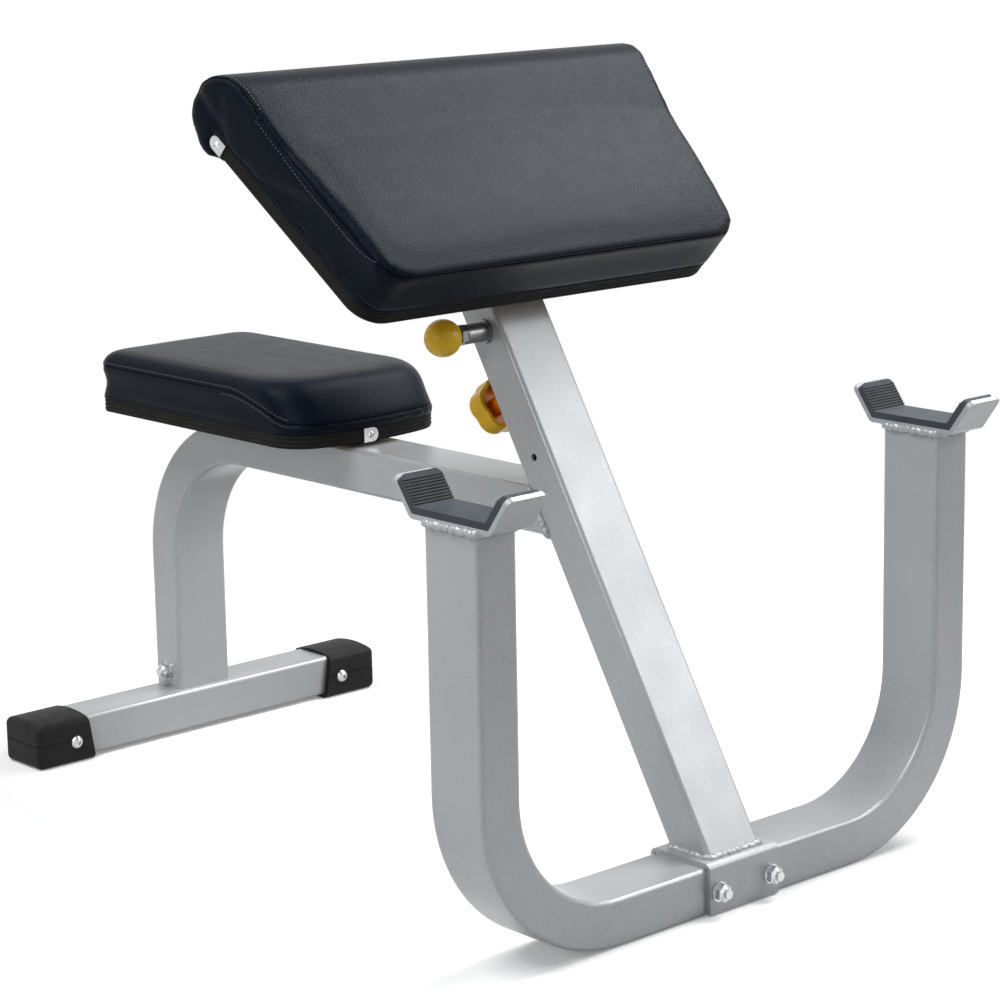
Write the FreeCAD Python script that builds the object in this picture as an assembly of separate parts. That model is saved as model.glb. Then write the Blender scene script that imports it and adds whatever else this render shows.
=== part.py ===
import FreeCAD, Part
import math
import os

# Preacher curl bench, in millimetres. X points the way the user faces, Y to the user's left, Z up.
# While it is built, X = 0 is the front face of the front frame and Z = 0 is the floor.

Vector = FreeCAD.Vector
Placement = FreeCAD.Placement
Rotation = FreeCAD.Rotation
to_front = Vector(1, 0, 0)
to_left = Vector(0, 1, 0)
to_top = Vector(0, 0, 1)

# Main tube of the front frame, the column and the seat beam
tube_wide = 75.0
tube_deep = 50.0
tube_wall = 3.0
tube_corner = 5.0
bend_radius = 155.0

# Front frame
frame_width = 700.0
frame_height = 446.0

# Bar holders and their rubber liners
holder_plate = 5.0
holder_base = 112.0
holder_rise = 36.0
holder_flare = 26.0
holder_corner = 7.0
holder_bend = 3.0
liner_thick = 7.0
liner_margin = 4.0
rib_count = 9
rib_pitch = 3.2
rib_wide = 1.8
rib_tall = 1.0

# Frame bolts
frame_bolt = 10.0
frame_bolt_flats = 17.0
frame_bolt_head = 6.5
frame_nut_tall = 10.0
frame_bolt_end = 3.0
washer_outer = 21.0
washer_thick = 2.0
hole_clear = 0.5
thread_clear = 0.05

# Saddle bracket under the column
saddle_plate = 5.0
saddle_bend = 8.0
saddle_floor_gap = 1.5
saddle_bolt_spacing = 76.0
saddle_bolt_margin = 12.0

# Column
column_lean = 30.5
sight_hole = 8.0
sight_hole_below_clamp = 81.0

# Post that slides in the column, its guides and its adjusting holes
post_wall = 2.5
post_corner = 3.0
post_tail = 115.0
sleeve_wall = 1.8
sleeve_length = 40.0
sleeve_rim = 3.0
plug_tall = 12.0
plug_stem = 20.0
plug_wall = 3.0
fixed_fit = 0.1
slide_clear = 0.3
adjust_pitch = 30.0
adjust_count = 7

# Pull pin on the column's right side
pin_above_clamp = 64.0
pin_sleeve_gap = 20.0
pin_nose = 10.0
pin_shaft = 8.0
pin_reach = 3.0
pin_clear = 0.1
pin_shoulder_step = 1.8
pin_shoulder_tall = 3.0
pin_seat_gap = 0.2
barrel_wall = 3.2
shoulder_clear = 0.5
barrel_floor = 3.0
barrel_tall = 30.0
barrel_ring_step = 2.5
barrel_ring_tall = 4.0
collar_flats = 19.0
collar_tall = 8.5
ball_diameter = 40.0
ball_gap = 0.8
ball_flat = 13.0
ball_bore_depth = 22.0
spring_wire = 1.2
spring_turns = 7
spring_margin = 0.2

# Clamp knob on the column's rear face
knob_beam_gap = 41.7
clamp_stem = 10.0
clamp_clear = 0.08
clamp_tip_gap = 0.3
clamp_tip_seat = 4.0
boss_outer = 22.0
boss_tall = 12.0
knob_stand = 30.0
knob_tall = 24.0
knob_lobes = 5
knob_lobe_centre = 12.0
knob_lobe_radius = 18.0
knob_valley_radius = 16.0
knob_rim_wall = 4.0
knob_pocket = 14.0
knob_edge = 6.0
knob_hub = 20.0
knob_hub_front = 8.0
knob_cover = 4.0

# Seat beam and rear crossbar
bench_reach = 957.0
beam_top = 402.0
crossbar_deep = 60.0
crossbar_tall = 49.0
crossbar_length = 496.0
stub_tall = 60.0
stub_fit = 0.5
rear_bolt_height = 20.0

# Rubber foot caps
cap_wall = 4.0
cap_side_wall = 7.0
cap_end = 9.0
cap_length = 71.0
cap_flare = 9.0
cap_crown = 5.0
cap_corner = 8.0
cap_fit = 0.2
cap_line_depth = 0.7
cap_line_tall = 1.2
foot_screw = 8.0
foot_screw_head = 15.5
foot_screw_head_tall = 4.5
foot_screw_inset = 17.0
foot_screw_drop = 3.0

# Upholstery boards, edge trims, clips and fixings, the same on seat and arm pad
board_thick = 16.0
trim_thick = 2.5
cushion_over = 1.5
clip_wide = 20.0
clip_thick = 1.5
clip_flat = 0.5
clip_gap = 0.3
clip_end_room = 2.0
clip_screw = 4.0
clip_screw_head = 8.0
clip_screw_head_tall = 2.5
clip_screw_length = 14.0
mount_plate = 5.0
mount_corner = 8.0
pad_bolt = 8.0
pad_bolt_flats = 13.0
pad_bolt_head = 5.5
tee_wall = 1.0
tee_flange = 22.0
tee_flange_thick = 1.5
tee_short = 3.0

# Seat
seat_length = 384.0
seat_width = 216.0
seat_setback = 11.5
seat_front_corner = 46.0
seat_rear_corner = 16.0
seat_bow = 18.0
seat_seam = 39.0
seat_crown = 57.0
seat_edge = 18.0
seat_front_seam = 12.0
seat_front_roll = 50.0
seat_draw = 2.5
seat_plate_length = 160.0
seat_plate_margin = 13.0
seat_bolt_inset = 20.0
seat_bolt_from_beam = 14.5
seat_clip_offset = -12.0

# Arm pad
pad_slope = 42.5
pad_mouth_gap = 17.463
pad_axis_from_front = 208.0
pad_front_width = 488.0
pad_side_taper = 8.5
pad_length = 258.0
pad_corner = 34.0
pad_seam = 54.0
pad_rise = 9.0
pad_edge = 12.0
pad_draw = 4.0
roll_radius = 48.0
roll_back = 5.0
roll_top = 65.0
roll_edge = 4.0
ramp_start = 110.0
ramp_sink = 2.0
pad_plate_start = 70.0
pad_plate_length = 135.0
pad_plate_margin = 19.0
pad_bolt_inset = 18.0
pad_bolt_spread = 112.0

# Shares that shape the fasteners and the cushions
head_chamfer_share = 0.95
nut_hex_share = 0.7
nut_collar_base_share = 0.47
nut_collar_top_share = 0.38
socket_wide_share = 0.6
socket_floor_share = 0.4
rib_top_share = 0.6
shoulder_bow_side_share = 0.3
shoulder_bow_rise_share = 0.72
pad_shoulder_share = 0.75
seat_front_seam_share = 0.18
seat_front_side_share = 0.4

# Levels between the seat's seam and its crown: shares of the shoulder's rise, its edge and the front roll
seat_shoulder_levels = [(0.5, 0.15, 0.56), (0.85, 0.5, 0.74)]

# Sizes and places that follow from the values above
saddle_length = saddle_bolt_spacing + 2 * saddle_bolt_margin
pin_shoulder = pin_nose + 2 * pin_shoulder_step
barrel_bore = pin_shoulder + 2 * shoulder_clear
barrel_outer = barrel_bore + 2 * barrel_wall
barrel_ring = barrel_outer + 2 * barrel_ring_step
knob_stem_depth = knob_hub_front + knob_tall - knob_cover
clip_round = board_thick / 2 - clip_flat
tee_barrel = pad_bolt + 2 * tee_wall
seat_bolt_spread = tube_wide + 2 * seat_bolt_from_beam
seat_plate_width = seat_bolt_spread + 2 * seat_plate_margin
pad_plate_width = pad_bolt_spread + 2 * pad_plate_margin
pad_crown = pad_seam + pad_rise
roll_from_front = pad_length - roll_back
frame_middle_x = -tube_wide / 2
arm_y = frame_width / 2 - tube_deep / 2
saddle_top = tube_deep + saddle_plate
post_rear_x = -bench_reach
post_middle_x = post_rear_x + tube_deep / 2
crossbar_bottom = cap_wall
crossbar_top = crossbar_bottom + crossbar_tall
crossbar_middle_x = post_rear_x + crossbar_deep / 2
cap_out = crossbar_length / 2 + cap_end
seat_rear_x = post_rear_x + seat_setback
seat_base = beam_top + mount_plate
front_reach = frame_middle_x + holder_base / 2 + holder_flare
rear_reach = min(post_rear_x - cap_side_wall, seat_rear_x - trim_thick)
centre_x = (front_reach + rear_reach) / 2
lean = math.radians(column_lean)
knob_reach = tube_deep / 2 + knob_stand + knob_tall
beam_at_knob = (beam_top - saddle_top + knob_reach * math.sin(lean)) / math.cos(lean)
clamp_height = beam_at_knob + knob_beam_gap + knob_lobe_centre + knob_lobe_radius
pin_height = clamp_height + pin_above_clamp
column_length = pin_height + pin_sleeve_gap + sleeve_length
sight_hole_height = clamp_height - sight_hole_below_clamp
post_foot_height = pin_height - (adjust_count - 1) * adjust_pitch - post_tail
column_bore_deep = tube_deep - 2 * tube_wall
column_bore_wide = tube_wide - 2 * tube_wall
guide_gap = sleeve_wall + fixed_fit + slide_clear
post_deep = column_bore_deep - 2 * guide_gap
post_wide = column_bore_wide - 2 * guide_gap
far = 4 * bench_reach
mouth_angle = lean + math.radians(pad_slope)
mouth_corner_rise = tube_deep / 2 * math.sin(mouth_angle)
pad_stand = sleeve_rim + (mouth_corner_rise + pad_mouth_gap) / math.cos(mouth_angle)
pad_taper = math.radians(pad_side_taper)
pad_clip_thick = trim_thick + clip_thick
pad_clip_half = clip_wide / 2 * math.cos(pad_taper)
pad_clip_middle = pad_length - clip_end_room - pad_clip_half
pad_clip_start = pad_clip_middle - pad_clip_half - pad_clip_thick * math.sin(pad_taper)
pad_trim_end = pad_clip_start - clip_gap
loft_degree = 3

# Frames of the leaning column, the pin, the clamp, the seat and the arm pad
column_frame = Placement(Vector(frame_middle_x, 0, saddle_top), Rotation(to_left, -column_lean))
pin_frame = column_frame * Placement(Vector(0, -tube_wide / 2, pin_height), Rotation(to_top, -to_left))
clamp_frame = column_frame * Placement(Vector(-tube_deep / 2, 0, clamp_height), Rotation(to_top, -to_front))
seat_frame = Placement(Vector(seat_rear_x, 0, seat_base), Rotation())
pad_turn = Rotation(to_left, pad_slope)
axis_meets_board = column_frame.multVec(Vector(0, 0, column_length + pad_stand))
pad_frame = Placement(axis_meets_board + pad_turn.multVec(Vector(pad_axis_from_front, 0, 0)), pad_turn)


def moved(shape, place):
    """The shape carried from its own frame into the bench's frame."""
    copy = shape.copy()
    copy.Placement = place.multiply(copy.Placement)
    return copy


def rod(radius, bottom, top, x=0.0, y=0.0):
    """Upright cylinder between two heights."""
    return Part.makeCylinder(radius, top - bottom, Vector(x, y, bottom))


def block(x0, x1, y0, y1, z0, z1):
    return Part.makeBox(x1 - x0, y1 - y0, z1 - z0, Vector(x0, y0, z0))


def joined(shapes):
    return shapes[0].multiFuse(shapes[1:]).removeSplitter()


def loop(points):
    """Closed wire of straight edges."""
    return Part.makePolygon(points + points[:1])


def arc(start, middle, end):
    return Part.Arc(start, middle, end).toShape()


def line(start, end):
    return Part.LineSegment(start, end).toShape()


def rounded_rectangle(size_x, size_y, radius, x=0.0, y=0.0, z=0.0):
    """Closed wire in a level plane, with a quarter arc at each corner."""
    half_x = size_x / 2
    half_y = size_y / 2
    slack = radius * (1 - math.sqrt(0.5))
    edges = []
    corners = [(1, -1), (1, 1), (-1, 1), (-1, -1)]
    for sx, sy in corners:
        along_y = Vector(x + sx * half_x, y + sy * (half_y - radius), z)
        along_x = Vector(x + sx * (half_x - radius), y + sy * half_y, z)
        middle = Vector(x + sx * (half_x - slack), y + sy * (half_y - slack), z)
        start, end = (along_x, along_y) if sx * sy < 0 else (along_y, along_x)
        if edges:
            edges.append(line(edges[-1].Vertexes[-1].Point, start))
        edges.append(arc(start, middle, end))
    edges.append(line(edges[-1].Vertexes[-1].Point, edges[0].Vertexes[0].Point))
    return Part.Wire(edges)


def prism(wire, direction):
    return Part.Face(wire).extrude(direction)


def straight_tube(size_x, size_y, wall, corner, bottom, top):
    """Upright rectangular tube with rounded corners."""
    outside = rounded_rectangle(size_x, size_y, corner, z=bottom)
    inside = rounded_rectangle(size_x - 2 * wall, size_y - 2 * wall, max(corner - wall, wall / 3), z=bottom)
    height = Vector(0, 0, top - bottom)
    return prism(outside, height).cut(prism(inside, height))


def bent_tube(path, size_x, size_y):
    """Main tube swept along a path that leaves its first point straight up or down."""
    start = path[0].Vertexes[0].Point
    spine = Part.Wire(path)
    outside = rounded_rectangle(size_x, size_y, tube_corner, start.x, start.y, start.z)
    bore_x = size_x - 2 * tube_wall
    bore_y = size_y - 2 * tube_wall
    bore_corner = max(tube_corner - tube_wall, tube_wall / 3)
    inside = rounded_rectangle(bore_x, bore_y, bore_corner, start.x, start.y, start.z)
    return spine.makePipeShell([outside], True, False).cut(spine.makePipeShell([inside], True, False))


def edges_at(shape, places, reach=0.5):
    """The edges whose middle lies at one of the places."""
    found = []
    for edge in shape.Edges:
        if any(edge.CenterOfMass.distanceToPoint(place) < reach for place in places):
            found.append(edge)
    return found


def hexagon(flats, bottom, top):
    radius = flats / math.sqrt(3)
    angles = [k * math.pi / 3 for k in range(6)]
    corners = [Vector(radius * math.cos(a), radius * math.sin(a), bottom) for a in angles]
    return prism(loop(corners), Vector(0, 0, top - bottom))


def hex_bolt(shank, flats, head, length):
    """Bolt along +Z with the underside of its chamfered head at Z = 0."""
    face_radius = flats / 2 * head_chamfer_share
    chamfer_cone = Part.makeCone(face_radius, face_radius + 2 * head, 2 * head, Vector(0, 0, -head))
    return joined([hexagon(flats, -head, 0).common(chamfer_cone), rod(shank / 2, 0, length)])


def lock_nut(shank, flats, tall):
    """Nut along +Z with a round locking collar at its outer end."""
    hex_tall = tall * nut_hex_share
    collar_base = flats * nut_collar_base_share
    collar_top = flats * nut_collar_top_share
    collar = Part.makeCone(collar_base, collar_top, tall - hex_tall, Vector(0, 0, hex_tall))
    return joined([hexagon(flats, 0, hex_tall), collar]).cut(rod(shank / 2 + thread_clear, 0, tall))


def washer(shank, outer, thick):
    return rod(outer / 2, 0, thick).cut(rod(shank / 2 + hole_clear, 0, thick))


def facing(base, axis):
    """Frame at a point with its Z along an axis."""
    return Placement(base, Rotation(to_top, axis))


def saddle_bolt_places():
    return [(side * saddle_bolt_spacing / 2, tube_deep / 2) for side in (-1, 1)]


def saddle_bolt_holes():
    radius = frame_bolt / 2 + hole_clear
    reach = tube_wide + 4 * saddle_plate
    start = -tube_wide - 2 * saddle_plate
    starts = [Vector(start, y, z) for y, z in saddle_bolt_places()]
    return [Part.makeCylinder(radius, reach, place, to_front) for place in starts]


def front_frame_tube():
    middle_z = tube_deep / 2
    slack = bend_radius * (1 - math.sqrt(0.5))
    top_right = Vector(frame_middle_x, -arm_y, frame_height)
    right_bend_top = Vector(frame_middle_x, -arm_y, middle_z + bend_radius)
    right_bend_mid = Vector(frame_middle_x, -arm_y + slack, middle_z + slack)
    right_bend_low = Vector(frame_middle_x, -arm_y + bend_radius, middle_z)
    mirror = [Vector(p.x, -p.y, p.z) for p in (top_right, right_bend_top, right_bend_mid, right_bend_low)]
    top_left, left_bend_top, left_bend_mid, left_bend_low = mirror
    path = [
        line(top_right, right_bend_top),
        arc(right_bend_top, right_bend_mid, right_bend_low),
        line(right_bend_low, left_bend_low),
        arc(left_bend_low, left_bend_mid, left_bend_top),
        line(left_bend_top, top_left),
    ]
    return bent_tube(path, tube_wide, tube_deep).cut(saddle_bolt_holes())


# The flanges of a bar holder rise at this angle from its base
flange_angle = math.atan2(holder_rise, holder_flare)
flange_length = math.hypot(holder_rise, holder_flare)
bend_share = math.tan(flange_angle / 2)


def cradle(half_base, bottom, flange, thick):
    """Strip with a level base and two flared flanges, in the XZ plane, as wide in Y as the tube is deep."""
    run = Vector(math.cos(flange_angle), 0, math.sin(flange_angle))
    inward = Vector(-math.sin(flange_angle), 0, math.cos(flange_angle))
    low_corner = Vector(half_base, 0, bottom)
    low_tip = low_corner + run * flange
    high_tip = low_tip + inward * thick
    high_corner = Vector(half_base - thick * bend_share, 0, bottom + thick)
    right = [low_corner, low_tip, high_tip, high_corner]
    left = [Vector(-p.x, 0, p.z) for p in reversed(right)]
    outline = [p + Vector(0, -tube_deep / 2, 0) for p in right + left]
    body = prism(loop(outline), Vector(0, tube_deep, 0))
    tip = (low_tip + high_tip) * 0.5
    tips = [Vector(sx * tip.x, sy * tube_deep / 2, tip.z) for sx in (-1, 1) for sy in (-1, 1)]
    body = body.makeFillet(holder_corner, edges_at(body, tips))
    outer = [low_corner, Vector(-half_base, 0, bottom)]
    body = body.makeFillet(holder_bend + holder_plate, edges_at(body, outer))
    inner = [high_corner, Vector(-high_corner.x, 0, high_corner.z)]
    return body.makeFillet(holder_bend, edges_at(body, inner))


def holder_place(side):
    return Placement(Vector(frame_middle_x, side * arm_y, frame_height), Rotation())


def bar_holder(side):
    return moved(cradle(holder_base / 2, 0, flange_length, holder_plate), holder_place(side))


def holder_liner(side):
    """Rubber lining, ribbed across both flanges with a plain band along their tops."""
    half_base = holder_base / 2 - holder_plate * bend_share
    flange = flange_length - holder_plate * bend_share - liner_margin
    pieces = [cradle(half_base, holder_plate, flange, liner_thick)]
    run = Vector(math.cos(flange_angle), 0, math.sin(flange_angle))
    inward = Vector(-math.sin(flange_angle), 0, math.cos(flange_angle))
    corner = Vector(half_base - liner_thick * bend_share, -tube_deep / 2, holder_plate + liner_thick)
    rib_top = rib_wide * rib_top_share
    rib_slant = (rib_wide - rib_top) / 2
    for number in range(rib_count):
        start = corner + run * (rib_pitch * (number + 0.5))
        rib = [
            start - inward * rib_tall,
            start + run * rib_wide - inward * rib_tall,
            start + run * (rib_slant + rib_top) + inward * rib_tall,
            start + run * rib_slant + inward * rib_tall,
        ]
        for side_sign in (1, -1):
            outline = [Vector(side_sign * p.x, p.y, p.z) for p in rib]
            pieces.append(prism(loop(outline), Vector(0, tube_deep, 0)))
    return moved(joined(pieces), holder_place(side))


def saddle_bracket():
    half = saddle_length / 2
    outer = block(-tube_wide - saddle_plate, saddle_plate, -half, half, saddle_floor_gap, saddle_top)
    bends = [Vector(x, 0, saddle_top) for x in (-tube_wide - saddle_plate, saddle_plate)]
    outer = outer.makeFillet(saddle_bend, edges_at(outer, bends))
    inner = block(-tube_wide, 0, -half, half, 0, tube_deep)
    return outer.cut(inner).cut(saddle_bolt_holes())


def saddle_bolts():
    """Two bolts from the rear, under washers, through the saddle and the tube."""
    start = -tube_wide - saddle_plate - washer_thick
    length = tube_wide + 2 * saddle_plate + 2 * washer_thick + frame_nut_tall + frame_bolt_end
    bolt = hex_bolt(frame_bolt, frame_bolt_flats, frame_bolt_head, length)
    places = [facing(Vector(start, y, z), to_front) for y, z in saddle_bolt_places()]
    return Part.makeCompound([moved(bolt, place) for place in places])


def rear_bolt_z():
    return crossbar_top + rear_bolt_height


def rear_post_bolt():
    start = Vector(post_middle_x, tube_wide / 2 + washer_thick, rear_bolt_z())
    length = tube_wide + 2 * washer_thick + frame_nut_tall + frame_bolt_end
    bolt = hex_bolt(frame_bolt, frame_bolt_flats, frame_bolt_head, length)
    return moved(bolt, facing(start, -to_left))


def frame_washers():
    piece = washer(frame_bolt, washer_outer, washer_thick)
    places = []
    for y, z in saddle_bolt_places():
        places.append(facing(Vector(saddle_plate, y, z), to_front))
        places.append(facing(Vector(-tube_wide - saddle_plate - washer_thick, y, z), to_front))
    places.append(facing(Vector(post_middle_x, -tube_wide / 2, rear_bolt_z()), -to_left))
    places.append(facing(Vector(post_middle_x, tube_wide / 2 + washer_thick, rear_bolt_z()), -to_left))
    return Part.makeCompound([moved(piece, place) for place in places])


def frame_lock_nuts():
    piece = lock_nut(frame_bolt, frame_bolt_flats, frame_nut_tall)
    places = [facing(Vector(saddle_plate + washer_thick, y, z), to_front) for y, z in saddle_bolt_places()]
    places.append(facing(Vector(post_middle_x, -tube_wide / 2 - washer_thick, rear_bolt_z()), -to_left))
    return Part.makeCompound([moved(piece, place) for place in places])


def column_tube():
    """Leaning tube, cut level where it stands on the saddle."""
    tube = straight_tube(tube_deep, tube_wide, tube_wall, tube_corner, -tube_deep, column_length)
    through = 3 * tube_wall
    right_side = Vector(0, -tube_wide / 2 - tube_wall, 0)
    rear_side = Vector(-tube_deep / 2 - tube_wall, 0, 0)
    pin_radius = pin_nose / 2 + hole_clear
    clamp_radius = clamp_stem / 2 + hole_clear
    cuts = [
        Part.makeCylinder(pin_radius, through, right_side + to_top * pin_height, to_left),
        Part.makeCylinder(sight_hole / 2, through, right_side + to_top * sight_hole_height, to_left),
        Part.makeCylinder(clamp_radius, through, rear_side + to_top * clamp_height, to_front),
    ]
    return moved(tube.cut(cuts), column_frame).cut(block(-far, far, -far, far, -far, saddle_top))


def seat_beam():
    """Bent tube: rear post, bend, and level beam that meets the column's rear face."""
    axis_z = beam_top - tube_deep / 2
    slack = bend_radius * (1 - math.sqrt(0.5))
    foot = Vector(post_middle_x, 0, crossbar_top)
    bend_low = Vector(post_middle_x, 0, axis_z - bend_radius)
    bend_mid = Vector(post_middle_x + slack, 0, axis_z - slack)
    bend_high = Vector(post_middle_x + bend_radius, 0, axis_z)
    front = Vector(frame_middle_x, 0, axis_z)
    path = [line(foot, bend_low), arc(bend_low, bend_mid, bend_high), line(bend_high, front)]
    ahead_of_column_rear = moved(block(-tube_deep / 2, far, -far, far, -far, far), column_frame)
    return bent_tube(path, tube_deep, tube_wide).cut(ahead_of_column_rear).cut(rear_bolt_hole())


def rear_bolt_hole():
    start = Vector(post_middle_x, -tube_wide, rear_bolt_z())
    return Part.makeCylinder(frame_bolt / 2 + hole_clear, 2 * tube_wide, start, to_left)


def rear_stub():
    """Short tube welded on the crossbar, inside the foot of the rear post."""
    size_x = tube_deep - 2 * tube_wall - 2 * stub_fit
    size_y = tube_wide - 2 * tube_wall - 2 * stub_fit
    stub = straight_tube(size_x, size_y, tube_wall, tube_wall, 0, stub_tall)
    return moved(stub, Placement(Vector(post_middle_x, 0, crossbar_top), Rotation())).cut(rear_bolt_hole())


crossbar_frame = Placement(
    Vector(crossbar_middle_x, 0, crossbar_bottom + crossbar_tall / 2), Rotation(to_front, -90)
)


def foot_screw_place(side):
    y = side * (cap_out - cap_length + foot_screw_inset)
    z = crossbar_bottom + crossbar_tall / 2 - foot_screw_drop
    return facing(Vector(crossbar_middle_x + crossbar_deep / 2 + cap_side_wall, y, z), to_front)


def foot_screw_hole(side):
    depth = cap_side_wall + 2 * tube_wall
    return moved(rod(foot_screw / 2 + hole_clear, -depth, depth), foot_screw_place(side))


def rear_crossbar():
    half = crossbar_length / 2
    bar = straight_tube(crossbar_deep, crossbar_tall, tube_wall, tube_corner, -half, half)
    return moved(bar, crossbar_frame).cut([foot_screw_hole(side) for side in (-1, 1)])


def foot_cap(side):
    """Moulded rubber cap with a crowned top and a parting line, longer at its foot than at its top."""
    half_x = crossbar_deep / 2 + cap_side_wall
    top = crossbar_tall + 2 * cap_wall
    start = -cap_flare
    low_left = Vector(-half_x, start, 0)
    low_right = Vector(half_x, start, 0)
    high_left = Vector(-half_x, start, top - cap_crown)
    high_right = Vector(half_x, start, top - cap_crown)
    crown = arc(high_right, Vector(0, start, top), high_left)
    sides = [line(low_left, low_right), line(low_right, high_right), crown, line(high_left, low_left)]
    body = prism(Part.Wire(sides), Vector(0, cap_length - start, 0))
    rounded = []
    for edge in body.Edges:
        at_inner_end = edge.BoundBox.YMax < cap_line_depth
        if not at_inner_end:
            rounded.append(edge)
    body = body.makeFillet(cap_corner, rounded)
    line_z = top / 2
    around = rounded_rectangle(4 * half_x, 4 * cap_length, cap_corner, z=line_z)
    kept_x = 2 * (half_x - cap_line_depth)
    kept_y = 2 * (cap_length - cap_line_depth)
    kept = rounded_rectangle(kept_x, kept_y, cap_corner - cap_line_depth, z=line_z)
    upward = Vector(0, 0, cap_line_tall)
    body = body.cut(prism(around, upward).cut(prism(kept, upward)))
    pocket_deep = crossbar_deep + 2 * cap_fit
    pocket_tall = crossbar_tall + 2 * cap_fit
    pocket = rounded_rectangle(pocket_deep, pocket_tall, tube_corner + cap_fit)
    pocket = prism(pocket, Vector(0, 0, cap_length - cap_end - start))
    pocket_frame = Placement(Vector(0, start, cap_wall + crossbar_tall / 2), Rotation(to_front, -90))
    body = body.cut(moved(pocket, pocket_frame))
    foot = Vector(-far, start, 0)
    above_foot = Vector(-far, start, far)
    beyond_top = Vector(-far, start + cap_flare * far / top, far)
    sloped = Part.Wire([line(foot, above_foot), line(above_foot, beyond_top), line(beyond_top, foot)])
    body = body.cut(prism(sloped, Vector(2 * far, 0, 0)))
    if side < 0:
        body = body.mirror(Vector(0, 0, 0), to_left)
    inner_end = Vector(crossbar_middle_x, side * (cap_out - cap_length), 0)
    return moved(body, Placement(inner_end, Rotation())).cut(foot_screw_hole(side))


def button_screw(shank, head, head_tall, length):
    """Domed screw along -Z with the underside of its head at Z = 0."""
    dome_radius = ((head / 2) ** 2 + head_tall ** 2) / (2 * head_tall)
    dome = Part.makeSphere(dome_radius, Vector(0, 0, head_tall - dome_radius))
    dome = dome.common(rod(head, 0, 2 * head_tall))
    socket = hexagon(shank * socket_wide_share, head_tall * socket_floor_share, 2 * head_tall)
    return joined([dome, rod(shank / 2, -length, 0)]).cut(socket)


def foot_cap_screws():
    length = cap_side_wall + 1.5 * tube_wall
    screw = button_screw(foot_screw, foot_screw_head, foot_screw_head_tall, length)
    return Part.makeCompound([moved(screw, foot_screw_place(side)) for side in (-1, 1)])


def column_guide_sleeve():
    """Plastic lining in the column's mouth, with a rim that covers the tube's end."""
    outer_deep = column_bore_deep - 2 * fixed_fit
    outer_wide = column_bore_wide - 2 * fixed_fit
    outside = rounded_rectangle(outer_deep, outer_wide, tube_wall, z=column_length - sleeve_length)
    rim = rounded_rectangle(tube_deep, tube_wide, tube_corner, z=column_length)
    body = joined([prism(outside, Vector(0, 0, sleeve_length)), prism(rim, Vector(0, 0, sleeve_rim))])
    bore_deep = post_deep + 2 * slide_clear
    bore_wide = post_wide + 2 * slide_clear
    bore = rounded_rectangle(bore_deep, bore_wide, post_corner + slide_clear)
    return moved(body.cut(prism(bore, Vector(0, 0, 2 * column_length))), column_frame)


def pin_barrel():
    body = joined([rod(barrel_outer / 2, 0, barrel_tall), rod(barrel_ring / 2, 0, barrel_ring_tall)])
    nose_hole = rod(pin_nose / 2 + pin_clear, 0, barrel_tall)
    return moved(body.cut(nose_hole).cut(rod(barrel_bore / 2, barrel_floor, barrel_tall)), pin_frame)


def pin_collar():
    top = barrel_tall + collar_tall
    bore = rod(pin_shaft / 2 + pin_clear, 0, top)
    return moved(hexagon(collar_flats, barrel_tall, top).cut(bore), pin_frame)


def ball_centre():
    return barrel_tall + collar_tall + ball_gap + math.sqrt(ball_diameter ** 2 - ball_flat ** 2) / 2


def pin_plunger():
    """Nose through the column and post walls, shoulder under the spring, and shaft up into the ball."""
    nose_end = -(tube_wall + guide_gap + post_wall + pin_reach)
    shoulder = barrel_floor + pin_seat_gap
    shaft_end = barrel_tall + collar_tall + ball_gap + ball_bore_depth
    nose = rod(pin_nose / 2, nose_end, shoulder)
    nose = nose.makeChamfer(pin_reach / 2, edges_at(nose, [Vector(0, 0, nose_end)]))
    ring = rod(pin_shoulder / 2, shoulder, shoulder + pin_shoulder_tall)
    shaft = rod(pin_shaft / 2, shoulder, shaft_end)
    return moved(joined([nose, ring, shaft]), pin_frame)


def ball_knob():
    start = barrel_tall + collar_tall + ball_gap
    ball = Part.makeSphere(ball_diameter / 2, Vector(0, 0, ball_centre()))
    ball = ball.common(rod(ball_diameter, start, start + 2 * ball_diameter))
    return moved(ball.cut(rod(pin_shaft / 2 + thread_clear, 0, start + ball_bore_depth)), pin_frame)


def two_arcs(start, start_run, end, end_run):
    """Two arcs that leave one point and reach another along the given unit directions."""
    span = end - start
    runs = start_run + end_run
    spread = 2 * (1 - start_run.dot(end_run))
    reach = (math.sqrt(span.dot(runs) ** 2 + spread * span.dot(span)) - span.dot(runs)) / spread
    joint = (start + end + (start_run - end_run) * reach) * 0.5
    halves = []
    for point, run, other in ((start, start_run, joint), (end, -end_run, joint)):
        chord = other - point
        bulge = (point + run * reach) - (point + other) * 0.5
        turn = math.acos(run.dot(chord) / chord.Length)
        bulge.normalize()
        halves.append((point + other) * 0.5 + bulge * (chord.Length / 2 * math.tan(turn / 2)))
    return [arc(start, halves[0], joint), arc(joint, halves[1], end)]


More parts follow.
